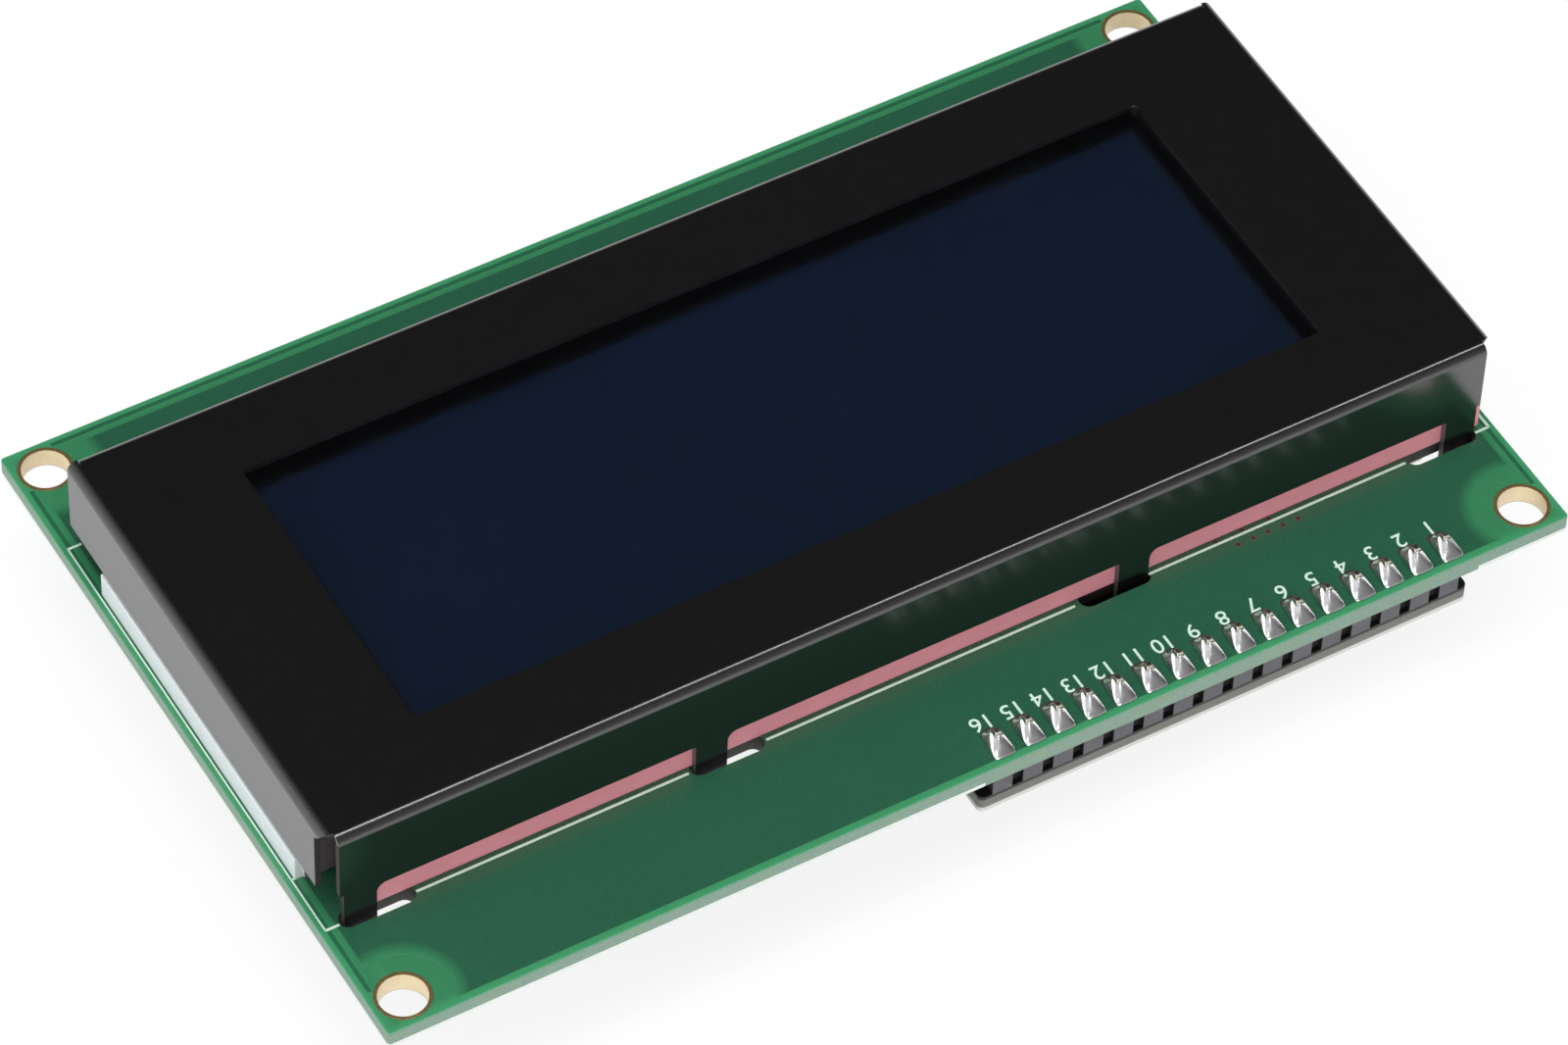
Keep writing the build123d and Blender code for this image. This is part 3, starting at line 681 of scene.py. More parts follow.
@dataclass(frozen=True)
class PourMask(Finish):
    """Solder mask over copper, which fades to bare laminate round the mounting holes.

    Attributes:
        bare: The colour that it fades to.
        hole: Place of the holes, on every side.
        reach: Where the fade starts, from a hole's centre.
        fade: How wide it is.
    """

    bare: Shade = (0.03, 0.17, 0.08)
    hole: Point = (46.5, 27.5)
    reach: float = 3.7
    fade: float = 1.05

    def color_socket(self, nodes: Nodes) -> Socket:
        """Add the mask's colour, mixed by the distance from the nearest hole.

        Args:
            nodes: The material's nodes.

        Returns:
            The colour's socket.
        """
        split = nodes.add("ShaderNodeSeparateXYZ", {0: nodes.place()})
        offsets = [
            nodes.math("SUBTRACT", nodes.math("ABSOLUTE", split.outputs[axis]), spot * MM)
            for axis, spot in enumerate(self.hole)
        ]
        way = nodes.add("ShaderNodeCombineXYZ", {0: offsets[0], 1: offsets[1]})
        length = nodes.add("ShaderNodeVectorMath", {0: way.outputs[0]}, operation="LENGTH").outputs["Value"]
        inner = nodes.spread(length, self.reach * MM, (self.reach + self.fade) * MM, 1.0, 0.0)
        return nodes.mix(inner, super().color_socket(nodes), self.bare)


@dataclass(frozen=True)
class CellField(Finish):
    """The dark film under the glass: blue in its middle field and near black round it; the dark reaches a
    little inside the window as painted shadow of the bezel's edge.

    Attributes:
        border_and_shadow: Colour round the field, the film's dark rim and painted shadow.
        half_length: Half the field's length.
        half_width: Half its width.
        shift: How far its middle lies to the rear.
        softness: How far its edge fades to each side.
    """

    border_and_shadow: Shade = (0.0022, 0.0026, 0.004)
    half_length: float = 36.8
    half_width: float = 12.15
    shift: float = 0.2
    softness: float = 0.35

    def color_socket(self, nodes: Nodes) -> Socket:
        """Add blue inside a soft-edged rectangle and the dark colour, partly painted shadow, outside it.

        Args:
            nodes: The material's nodes.

        Returns:
            The colour's socket.
        """
        split = nodes.add("ShaderNodeSeparateXYZ", {0: nodes.place()})
        along = nodes.math("ABSOLUTE", split.outputs[0])
        across = nodes.math("ABSOLUTE", nodes.math("SUBTRACT", split.outputs[1], self.shift * MM))
        past = nodes.math("MAXIMUM", nodes.math("SUBTRACT", along, self.half_length * MM),
                          nodes.math("SUBTRACT", across, self.half_width * MM))
        # Painted shadow: the field stops short of the window's edge, so the dark reaches into the window.
        outside = nodes.spread(past, -self.softness * MM, self.softness * MM, 0.0, 1.0)
        return nodes.mix(outside, super().color_socket(nodes), self.border_and_shadow)


MASK_BARE = BoardMask("mask_over_bare_laminate", shade(48, 120, 80), "board_green", 0.3, 0.04,
                      variation=0.05, weave=0.03, coat=0.15, grain_depth=0.000002, variation_scale=70.0)
MASK_POUR = PourMask("mask_over_copper", shade(34, 85, 61), "board_green", 0.28, 0.04,
                     variation=0.05, coat=0.15, grain_depth=0.000002, speck=shade(70, 120, 92),
                     speck_share=0.006, speck_scale=300.0, bare=shade(48, 120, 80))
MASK_TRACE = Finish("mask_over_trace", shade(36, 94, 66), "board_green", 0.22, 0.04, coat=0.3)
# The pale lower band of both board edges is painted light from the white floor; on the green board it stops
# over the adapter board.
BOARD_EDGE = LaminateEdge("green_board_edge", shade(138, 162, 144), "board_green", 0.55, 0.1,
                          dark=shade(116, 146, 126), upper=shade(86, 146, 110), lower=shade(226, 232, 226),
                          bounce_light_gap=(-0.8, 41.2))
HOLE_RING = Finish("tinned_ring", shade(132, 112, 70), "board_green", 0.32, 0.1, metallic=0.6, variation=0.2,
                   variation_scale=900.0)
HOLE_WALL = Finish("plated_hole_wall", shade(232, 214, 176), "board_green", 0.35, 0.1, metallic=0.3,
                   variation=0.08, variation_scale=500.0)
# Painted shade: the routed slot walls are dark because the slots' insides lie in shadow.
SLOT_WALL_PAINTED_SHADE = Finish("routed_slot_wall_painted_shade", shade(46, 44, 38), "board_green", 0.6, 0.1, variation=0.2,
                   variation_scale=900.0)
SILK = Finish("white_marking_ink", shade(196, 222, 204), "board_green", 0.55, variation_scale=1500.0)
VIA = Finish("via_copper", shade(92, 80, 62), "board_green", 0.35, 0.1, metallic=0.3, variation=0.2)
MASK_BLACK = Finish("black_mask", shade(26, 27, 27), "board_black", 0.3, coat=0.2, variation=0.1,
                    weave=0.1)
MASK_BLACK_POUR = Finish("black_mask_over_copper", shade(20, 21, 22), "board_black", 0.26, coat=0.2,
                         variation=0.1)
# The adapter edge's black upper band is the mask over the edge, widened as painted shade under the spacer.
BLACK_EDGE = LaminateEdge("black_board_edge", shade(118, 118, 112), "board_black", 0.5, 0.1,
                          dark=shade(102, 102, 96), upper=shade(22, 22, 22), lower=shade(208, 209, 203),
                          top=-4.14, back=-5.74, upper_width=0.3, bounce_light_width=0.45)
BLACK_COAT = Finish("black_bezel_coat", shade(15, 15, 16), "bezel_black", 0.19, 0.02, ior=2.0,
                    variation_scale=60.0, grain_scale=1200.0, grain_depth=0.0000015,
                    speck=shade(52, 52, 54), speck_share=0.006, speck_scale=260.0)
CUT_STEEL = Finish("cut_steel_edge", shade(120, 122, 124), "bezel_black", 0.4, 0.1, metallic=0.7,
                   variation=0.15, variation_scale=900.0)
# Painted shade for cut edges that lie in shadow.
CUT_PAINTED_SHADE = Finish("cut_edge_painted_shade", shade(40, 36, 35), "bezel_black", 0.7, variation=0.1)
CLEAR_GLASS = Finish("clear_cell_glass", (0.93, 0.96, 1.0), "cell_glass", 0.04, 0.01,
                     variation=0.0, grain_depth=0.0000005, transmission=1.0)
# Its dark rim, reaching inside the window, is painted shadow of the bezel.
BLUE_FIELD = CellField("blue_cell_field", shade(11, 28, 50), "window_film", 0.6, ior=1.2,
                       variation=0.12, variation_scale=90.0)
WHITE_FRAME = Finish("white_backlight_moulding", shade(214, 221, 222), "frame_white", 0.35,
                     variation=0.03, grain_depth=0.000006)
# Painted shade for the white moulding's sides under the bezel.
PAINTED_SHADE_SIDE = Finish("moulding_side_painted_shade", shade(96, 95, 97), "frame_white", 0.6, variation=0.08)
WHITE_FILM = Finish("matt_white_film", shade(238, 238, 236), "white_film", 0.7, variation=0.03)
ACRYLIC = Finish("clear_acrylic_guide", (0.9, 0.94, 0.97), "clear_acrylic", 0.08, 0.03, ior=1.49,
                 variation=0.02, transmission=1.0)
PINK_RUBBER = Finish("pink_contact_rubber", shade(244, 158, 170), "pink_rubber", 0.62, 0.06,
                     variation=0.05, variation_scale=400.0, grain_scale=3500.0, grain_depth=0.00001,
                     speck=shade(238, 158, 170), speck_share=0.08, speck_scale=2600.0)
STRIP_BOARD = Finish("white_strip_laminate", shade(216, 218, 208), "strip_laminate", 0.5)
LAMP_BODY = Finish("white_lamp_body", shade(240, 236, 204), "lamp_white", 0.35)
TINNED = Finish("tinned_pin_metal", shade(205, 200, 186), "pin_metal", 0.24, 0.06, metallic=1.0,
                variation=0.08, variation_scale=900.0)
SOLDER = Finish("bright_solder", shade(224, 224, 226), "solder", 0.24, metallic=1.0, variation=0.05,
                variation_scale=1400.0, grain_scale=1600.0, grain_depth=0.0000015)
# Painted shade on the tin pads round the joints.
PAD_PAINTED_SHADE = Finish("dark_pad_painted_shade", shade(64, 62, 56), "solder", 0.4, 0.1, metallic=0.3, variation=0.2,
              variation_scale=1800.0)
BLACK_NYLON = Finish("black_nylon", shade(34, 34, 37), "black_plastic", 0.42, 0.06, variation=0.08,
                     variation_scale=500.0, grain_depth=0.00001)
# Grey painted sheen: black nylon made grey where the white floor shows in it.
SPACER_PAINTED_SHEEN = Finish("black_nylon_painted_sheen", shade(78, 76, 82), "black_plastic", 0.4, 0.08, variation=0.25,
                      variation_scale=900.0, grain_depth=0.00002)
# Near-black painted shade for the same nylon in the spacer's notches.
NOTCH_PAINTED_SHADE = Finish("black_nylon_painted_shade", shade(10, 10, 11), "black_plastic", 0.7)
CHIP_RESIN = Finish("grey_chip_resin", shade(46, 46, 48), "chip_resin", 0.55, grain_depth=0.000012)
BLOB_RESIN = Finish("black_poured_resin", shade(20, 20, 21), "blob_resin", 0.3, 0.08, variation=0.15,
                    variation_scale=300.0, grain_scale=700.0, grain_depth=0.00006)
TRIMMER_BLUE = Finish("blue_trimmer_case", shade(44, 92, 176), "trimmer_blue", 0.36, variation=0.04,
                      grain_depth=0.000008)
ROTOR_WHITE = Finish("off_white_rotor", shade(226, 222, 206), "trimmer_white", 0.45, variation=0.05)
CERAMIC_BLACK = Finish("black_resistor_film", shade(28, 28, 32), "chip_black", 0.3)
CERAMIC_WHITE = Finish("white_resistor_ceramic", shade(218, 216, 208), "chip_black", 0.5)
CERAMIC_TAN = Finish("tan_capacitor_ceramic", shade(168, 132, 92), "chip_tan", 0.5, variation=0.08,
                     variation_scale=900.0)
LAMP_RED = Finish("clear_red_lamp", shade(214, 96, 78), "led_clear", 0.15, 0.03, coat=0.4)


# Meshes


class Shape:
    """A mesh in the making, in millimetres, that becomes one dressed piece."""

    def __init__(self, *finishes: Finish) -> None:
        """Start an empty shape with the finishes that its faces may take."""
        self.mesh = bmesh.new()
        self.finishes = finishes

    def ring(self, points: Iterable[Place]) -> list[Vertex]:
        """Add one ring of vertices."""
        return [self.mesh.verts.new(point) for point in points]

    def face(self, corners: Sequence[Vertex], look: int = 0) -> None:
        """Add one face with its finish number."""
        self.mesh.faces.new(corners).material_index = look

    def bridge(self, first: list[Vertex], second: list[Vertex], look: int = 0) -> None:
        """Join two closed rings with four-sided faces.

        Args:
            first: One ring.
            second: The next, with as many vertices.
            look: Finish number of the faces.
        """
        for a, b, c, d in zip(first, first[1:] + first[:1], second[1:] + second[:1], second):
            self.face((a, b, c, d), look)

    def slab(self, loops: list[Loop], low: float, high: float, edge: float = 0.05,
             along: Along = Along.Z, look: int = 0, walls: Sequence[int] | None = None) -> None:
        """Extrude an outline with holes and round its rims.

        Args:
            loops: The outer outline, then its holes, in either direction.
            low: Where the extrusion starts.
            high: Where it ends.
            edge: Radius of the rounded rims.
            along: The axis that it is extruded along.
            look: Finish number of the two faces.
            walls: Finish number of each loop's sides and rims, or None for the same.
        """
        edge = min(edge, (high - low) / 2.001)
        steps = ROUND_STEPS if edge > 0 else 0
        rims: list[list[list[Vertex]]] = []
        for number, loop in enumerate(loops):
            wanted = 1 if number == 0 else -1
            turned = loop if signed_area(loop) * wanted > 0 else loop[::-1]
            rings = []
            for end, way in ((low, 1), (high, -1)):
                for stage in range(steps + 1)[::way]:
                    turn = math.pi / 2 * stage / steps if steps else 0.0
                    shrink = edge * (1 - math.sin(turn))
                    height = end + way * edge * (1 - math.cos(turn))
                    rings.append(self.ring(along.place(u, v, height) for u, v in inset(turned, shrink)))
            for first, second in zip(rings, rings[1:]):
                self.bridge(first, second, look if walls is None else walls[number])
            rims.append(rings)
        flat = [[Vector((*self.outline_point(vertex, along), 0.0)) for vertex in rings[0]]
                for rings in rims]
        triangles = tessellate_polygon(flat)
        for cap in (0, -1):
            vertices = [vertex for rings in rims for vertex in rings[cap]]
            for corners in triangles:
                self.face([vertices[corner] for corner in corners], look)

    @staticmethod
    def outline_point(vertex: Vertex, along: Along) -> Point:
        """Return a vertex's place in the plane of its outline."""
        x, y, z = vertex.co
        return {Along.X: (y, z), Along.Y: (x, z), Along.Z: (x, y)}[along]

    def block(self, low: Place, high: Place, edge: float = 0.05, look: int = 0) -> None:
        """Add a box with rounded edges.

        Args:
            low: Its lowest corner.
            high: Its highest corner.
            edge: Radius of its edges.
            look: Finish number of its faces.
        """
        centre = ((low[0] + high[0]) / 2, (low[1] + high[1]) / 2)
        corner = min(edge, (high[0] - low[0]) / 2.1, (high[1] - low[1]) / 2.1)
        outline = rounded(centre, high[0] - low[0], high[1] - low[1], corner, ROUND_STEPS)
        self.slab([outline], low[2], high[2], min(edge, corner * 0.98), look=look)

    def turned(self, centre: Place, profile: Sequence[Point], steps: int) -> None:
        """Turn a profile of (radius, height) points about a vertical axis.

        Args:
            centre: The axis and the profile's zero height.
            profile: The points, with radius zero at both ends.
            steps: How many spans one turn has.
        """
        axis, base = centre[:2], centre[2]
        rings = [
            self.ring((x, y, base + height) for x, y in (circle(axis, radius, steps) if radius else [axis]))
            for radius, height in profile
        ]
        for first, second in zip(rings, rings[1:]):
            if len(first) == len(second):
                self.bridge(first, second)
                continue
            tip, around = (first[0], second) if len(first) == 1 else (second[0], first)
            for here, after in zip(around, around[1:] + around[:1]):
                self.face((here, after, tip))

    def stack(self, rings: Sequence[Sequence[Place]]) -> None:
        """Join a run of closed rings and close its two ends.

        Args:
            rings: The rings from one end to the other, with as many points each.
        """
        made = [self.ring(points) for points in rings]
        for first, second in zip(made, made[1:]):
            self.bridge(first, second)
        self.face(made[0][::-1])
        self.face(made[-1])

    def figures(self, text: str, centre: Point, base: float, height: float, turn: float,
                thickness: float) -> None:
        """Add raised figures in plain lettering.

        Args:
            text: The figures.
            centre: Their middle.
            base: The surface that they lie on.
            height: Their height.
            turn: Their turn, in degrees.
            thickness: How far they stand up.
        """
        curve = bpy.data.curves.new("figures", "FONT")
        curve.body = text
        curve.size = height * FONT_PER_FIGURE
        curve.align_x = curve.align_y = "CENTER"
        curve.extrude = thickness / 2
        curve.offset = height * FIGURE_WEIGHT
        holder = bpy.data.objects.new("figures", curve)
        bpy.context.scene.collection.objects.link(holder)
        bpy.context.view_layer.update()
        flat = bpy.data.meshes.new_from_object(holder.evaluated_get(bpy.context.evaluated_depsgraph_get()))
        turned = Matrix.Rotation(math.radians(turn), 4, "Z")
        flat.transform(Matrix.Translation((*centre, base + thickness / 2)) @ turned)
        self.mesh.from_mesh(flat)
        bpy.data.objects.remove(holder)
        bpy.data.meshes.remove(flat)
        bpy.data.curves.remove(curve)

    def piece(self, name: str, *nodes: str, body: str = MAIN_BODY, smooth: float = SMOOTH_ANGLE,
              subdivide: int = 0) -> bpy.types.Object:
        """Turn the shape into an object, dress it and hang it in the frame.

        Args:
            name: The object's name.
            *nodes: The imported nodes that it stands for.
            body: The body that it rides on.
            smooth: Largest angle that is shaded smooth.
            subdivide: Levels of smoothing subdivision, applied.

        Returns:
            The new object.
        """
        bmesh.ops.remove_doubles(self.mesh, verts=self.mesh.verts[:], dist=SAME_SPOT)
        bmesh.ops.recalc_face_normals(self.mesh, faces=self.mesh.faces[:])
        bmesh.ops.scale(self.mesh, vec=(MM, MM, MM), verts=self.mesh.verts[:])
        data = bpy.data.meshes.new(name)
        self.mesh.to_mesh(data)
        self.mesh.free()
        made = bpy.data.objects.new(name, data)
        bpy.context.scene.collection.objects.link(made)
        for finish in self.finishes:
            data.materials.append(finish.material())
        if subdivide:
            apply_modifier(made, "SUBSURF", levels=subdivide, render_levels=subdivide)
        shade_smoothly(made, smooth)
        hang(made, body, nodes)
        return made


def apply_modifier(target: bpy.types.Object, kind: str, **settings: object) -> None:
    """Add a modifier to an object and make its result the object's own mesh.

    Args:
        target: The object.
        kind: The modifier's type.
        **settings: Its own settings.
    """
    modifier = target.modifiers.new(kind.lower(), kind)
    for name, value in settings.items():
        setattr(modifier, name, value)
    bpy.context.view_layer.update()
    result = bpy.data.meshes.new_from_object(target.evaluated_get(bpy.context.evaluated_depsgraph_get()))
    old = target.data
    target.modifiers.clear()
    target.data = result
    result.name = target.name
    bpy.data.meshes.remove(old)


def shade_smoothly(target: bpy.types.Object, angle: float) -> None:
    """Shade a mesh smooth below an angle, with large flat faces kept flat.

    Args:
        target: The object.
        angle: Largest angle that is shaded smooth.
    """
    for polygon in target.data.polygons:
        polygon.use_smooth = True
    target.data.set_sharp_from_angle(angle=angle)
    weigh = target.modifiers.new("weighted_normals", "WEIGHTED_NORMAL")
    weigh.keep_sharp = True
    weigh.weight = 100


def hang(target: bpy.types.Object, body: str, nodes: Sequence[str]) -> None:
    """Ride a piece on its body and the nodes that it stands for.

    Args:
        target: The piece.
        body: The body that it rides on.
        nodes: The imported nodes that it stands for.
    """
    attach(target, body)
    if nodes:
        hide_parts(*nodes)
    LOG.info("%s: %d faces on %s", target.name, len(target.data.polygons), body)


def dress(node: str, finish: Finish) -> None:
    """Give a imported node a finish, with its shape as it is.

    Args:
        node: The node's name.
        finish: Its finish.
    """
    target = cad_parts[node]
    if not target.material_slots:
        target.data.materials.append(None)
    for slot in target.material_slots:
        slot.material = finish.material()
    LOG.info("%s: dressed in %s", node, finish.name)


# The studio


@dataclass(frozen=True)
class Softbox:
    """One lamp that faces the part, in metres and watts."""

    name: str
    place: Place
    width: float
    height: float
    power: float


@dataclass
class Studio:
    """Camera, lamps and a pale floor.

    Attributes:
        camera_place: Where the camera stands, in metres.
        camera_turn: Its turn about X, Y and Z, in degrees.
        lens: Its focal length for that sensor.
        sensor: The sensor's width, in millimetres.
        floor_reach: Half the floor's size, in metres.
        floor_glow: Share of the floor's light that doesn't depend on the lamps.
        floor_color: The floor's colour under the lamps.
        room_light: Colour of the light that the room gives.
        lamps: The softboxes.
        floor_height: The height that the part stands on, in metres.
    """

    camera_place: Place = (-0.20519, -0.33067, 0.45181)
    camera_turn: Place = (40.4704, -1.521, -30.0459)
    lens: float = 187.13
    sensor: float = 36.0
    floor_reach: float = 4.0
    floor_glow: float = 0.86
    floor_color: Shade = (0.86, 0.86, 0.87)
    room_light: Shade = (0.36, 0.37, 0.38)
    lamps: tuple[Softbox, ...] = (
        Softbox("overhead_softbox", (-0.12, -0.1, 0.8), 0.5, 0.5, 4.4),
        Softbox("left_softbox", (-0.75, 0.15, 0.35), 0.5, 0.4, 1.6),
        Softbox("front_softbox", (-0.32, -0.85, 0.5), 0.75, 0.5, 3.2),
        Softbox("rim_strip", (0.36, -0.04, 0.84), 0.09, 0.5, 1.15),
        Softbox("low_softbox", (0.1, -0.1, -0.7), 0.5, 0.5, 1.8),
    )
    floor_height: float = field(default_factory=lambda: CAD_BOX[0][2])

    def build(self) -> None:
        """Set up the whole studio."""
        self.add_camera()
        self.add_floor()
        self.add_world()
        for lamp in self.lamps:
            self.add_lamp(lamp)
        bpy.context.scene.view_settings.view_transform = "Standard"

    def add_camera(self) -> None:
        """Place the camera where the photograph was taken from."""
        data = bpy.data.cameras.new("camera")
        data.lens = self.lens
        data.sensor_width = self.sensor
        data.clip_start = 0.01
        camera = bpy.data.objects.new("camera", data)
        camera.location = self.camera_place
        camera.rotation_euler = Euler([math.radians(angle) for angle in self.camera_turn], "XYZ")
        bpy.context.scene.collection.objects.link(camera)
        bpy.context.scene.camera = camera

    def add_floor(self) -> None:
        """Add a pale floor that shows almost white, keeps a faint shadow and is clear from below."""
        data = bpy.data.meshes.new("studio_floor")
        reach, height = self.floor_reach, self.floor_height
        corners = [(x * reach, y * reach, height) for x, y in ((-1, -1), (1, -1), (1, 1), (-1, 1))]
        data.from_pydata(corners, [], [(0, 1, 2, 3)])
        floor = bpy.data.objects.new("studio_floor", data)
        bpy.context.scene.collection.objects.link(floor)
        made = bpy.data.materials.new("pale_floor")
        made.use_nodes = True
        nodes = Nodes(made.node_tree)
        made.node_tree.nodes.remove(made.node_tree.nodes["Principled BSDF"])
        path = nodes.add("ShaderNodeLightPath")
        seen = nodes.math("MAXIMUM", path.outputs["Is Camera Ray"], path.outputs["Is Glossy Ray"])
        seen = nodes.math("MAXIMUM", seen, path.outputs["Is Transmission Ray"])
        lit = nodes.add("ShaderNodeBsdfDiffuse", {"Color": self.floor_color})
        glow = nodes.add("ShaderNodeEmission", {"Color": (1.0, 1.0, 1.0), "Strength": 1.0})
        share = nodes.math("MULTIPLY", seen, self.floor_glow)
        both = nodes.add("ShaderNodeMixShader", {0: share, 1: lit.outputs[0], 2: glow.outputs[0]})
        behind = nodes.add("ShaderNodeNewGeometry").outputs["Backfacing"]
        clear = nodes.math("MAXIMUM", behind, path.outputs["Is Shadow Ray"])
        through = nodes.add("ShaderNodeBsdfTransparent")
        last = nodes.add("ShaderNodeMixShader", {0: clear, 1: both.outputs[0], 2: through.outputs[0]})
        made.node_tree.links.new(last.outputs[0], made.node_tree.nodes["Material Output"].inputs["Surface"])
        data.materials.append(made)

    def add_world(self) -> None:
        """Add a dim room: white to the camera, dark overhead in reflections."""
        world = bpy.data.worlds.new("studio_room")
        bpy.context.scene.world = world
        world.use_nodes = True
        nodes = Nodes(world.node_tree)
        background = world.node_tree.nodes["Background"]
        path = nodes.add("ShaderNodeLightPath")
        way = nodes.add("ShaderNodeSeparateXYZ", {0: nodes.add("ShaderNodeTexCoord").outputs["Generated"]})
        upward = nodes.math("MULTIPLY", nodes.spread(way.outputs[2], 0.08, 0.4, 0.75, 0.02),
                            nodes.spread(way.outputs[1], -0.9, -0.3, 0.35, 1.0))
        forward = nodes.spread(way.outputs[1], -0.75, -0.15, 0.27, 0.0)
        leftward = nodes.math("POWER", nodes.spread(way.outputs[0], -0.85, 0.15, 0.85, 0.0), 1.5)
        upward = nodes.math("MAXIMUM", nodes.math("ADD", upward, forward), leftward)
        grey = nodes.add("ShaderNodeCombineColor", {0: upward, 1: upward, 2: upward}).outputs[0]
        soft = nodes.mix(path.outputs["Is Diffuse Ray"], grey, self.room_light)
        soft = nodes.mix(nodes.math("GREATER_THAN", way.outputs[2], -0.02), (0.0, 0.0, 0.0), soft)
        seen = nodes.mix(path.outputs["Is Camera Ray"], soft, (1.0, 1.0, 1.0))
        world.node_tree.links.new(seen, background.inputs["Color"])

    def add_lamp(self, box: Softbox) -> None:
        """Add one softbox that faces the part.

        Args:
            box: The softbox.
        """
        data = bpy.data.lights.new(box.name, "AREA")
        data.shape = "RECTANGLE"
        data.size, data.size_y = box.width, box.height
        data.energy = box.power
        lamp = bpy.data.objects.new(box.name, data)
        lamp.location = box.place
        lamp.rotation_euler = (-Vector(box.place)).to_track_quat("-Z", "Y").to_euler()
        bpy.context.scene.collection.objects.link(lamp)


# The main board


@dataclass
class MainBoard:
    """Green board with its copper, markings, holes and slots."""

    length: float = 98.0
    width: float = 60.0
    thickness: float = 1.6
    corner: float = 0.3
    hole_x: float = 46.5
    hole_y: float = 27.5
    hole_radius: float = 1.8
    ring_width: float = 0.3
    slot_length: float = 5.9
    slot_width: float = 1.5
    slot_x: tuple[float, float] = (44.4, 16.2)
    slot_y: float = 19.75
    header_x: float = 20.25
    header_y: float = -28.0
    header_hole: float = 0.5
    pin_count: int = 16
    pitch: float = 2.54
    lead_x: float = 45.8
    lead_hole: float = 0.4
    copper: float = 0.03
    ink: float = 0.02
    edge_band: float = 1.3
    front_band: float = 0.62
    clear_radius: float = 3.6
    track_inset: float = 0.62
    track_half: float = 0.16
    track_stop: float = 1.4
    line_half: float = 0.11
    line_x: float = 48.55
    line_front: float = -19.91
    line_rear: float = 19.85
    line_runs: tuple[Point, ...] = (
        (-48.55, -47.45), (-41.36, -19.4), (-13.04, 12.75), (18.99, 41.22), (47.35, 48.55),
    )
    tick: tuple[Point, Point] = ((-48.55, -14.9), (-47.55, -14.7))
    figure_y: float = -25.95
    figure_height: float = 1.3
    via_rows: tuple[tuple[float, float, float, int], ...] = (
        (26.22, -20.65, 1.3, 5), (24.9, -19.62, 2.3, 3),
    )
    via_radius: float = 0.27
    via_hole: float = 0.15

    def corners(self) -> list[Point]:
        """Return the centres of the four mounting holes."""
        return [(x * self.hole_x, y * self.hole_y) for x in (-1, 1) for y in (-1, 1)]

    def pin_places(self) -> list[Point]:
        """Return the centres of the header's holes, from left to right."""
        first = self.header_x - (self.pin_count - 1) * self.pitch / 2
        return [(first + index * self.pitch, self.header_y) for index in range(self.pin_count)]

    def slots(self, grow: float = 0.0) -> list[Loop]:
        """Outline the eight tab slots.

        Args:
            grow: How far each outline is moved outward.

        Returns:
            The outlines.
        """
        width = self.slot_width + 2 * grow
        return [
            rounded((x * side, y * self.slot_y), self.slot_length + 2 * grow, width, width / 2 - 0.001, 8)
            for x in self.slot_x for side in (-1, 1) for y in (-1, 1)
        ]

    def build(self) -> None:
        """Build the board and everything printed or plated on it."""
        self.add_laminate()
        self.add_pour("front", 0.0, 1)
        self.add_pour("rear", -self.thickness, -1)
        self.add_edge_traces()
        self.add_rings()
        self.add_markings()
        self.add_vias()

    def add_laminate(self) -> None:
        """Add the board itself, with all its holes."""
        shape = Shape(MASK_BARE, BOARD_EDGE, HOLE_WALL, SLOT_WALL_PAINTED_SHADE)
        corners = [circle(centre, self.hole_radius, 64) for centre in self.corners()]
        pins = [circle(centre, self.header_hole, 20) for centre in self.pin_places()]
        pins += [circle((self.lead_x, side * self.pitch / 2), self.lead_hole, 16) for side in (-1, 1)]
        slots = self.slots()
        loops = [rounded((0, 0), self.length, self.width, self.corner)] + corners + slots + pins
        walls = [1] + [2] * len(corners) + [3] * len(slots) + [2] * len(pins)
        shape.slab(loops, -self.thickness, 0.0, BOARD_RIM, walls=walls)
        shape.piece("main_board_laminate", "main_board")

    def pour_outline(self) -> Loop:
        """Outline the copper area, clear of the edges and the mounting holes.

        Returns:
            The outline, anticlockwise.
        """
        reach = self.clear_radius
        points: Loop = []
        for side_x, side_y in ((1, 1), (-1, 1), (-1, -1), (1, -1)):
            far_y = self.width / 2 - (self.front_band if side_y < 0 else self.edge_band)
            centre = (side_x * self.hole_x, side_y * self.hole_y)
            far_x = self.length / 2 - self.edge_band
            along = math.sqrt(reach ** 2 - (far_y - self.hole_y) ** 2)
            up = math.sqrt(reach ** 2 - (far_x - self.hole_x) ** 2)
            on_end = math.degrees(math.atan2(-side_y * up, side_x * (far_x - self.hole_x)))
            on_side = math.degrees(math.atan2(side_y * (far_y - self.hole_y), -side_x * along))
            first, last = (on_end, on_side) if side_x * side_y > 0 else (on_side, on_end)
            turn = (last - first) % 360
            if turn > 180:
                turn -= 360
            points += arc(centre, reach, first, first + turn, 16)
        return points

    def add_pour(self, name: str, base: float, way: int) -> None:
        """Add the copper area of one side, seen as darker mask.

        Args:
            name: The side's name.
            base: The board's surface on that side.
            way: One for upward and minus one for downward.
        """
        shape = Shape(MASK_POUR)
        low, high = sorted((base, base + way * self.copper))
        shape.slab([self.pour_outline()] + self.slots(0.04), low, high, 0.012)
        shape.piece(f"copper_area_{name}")

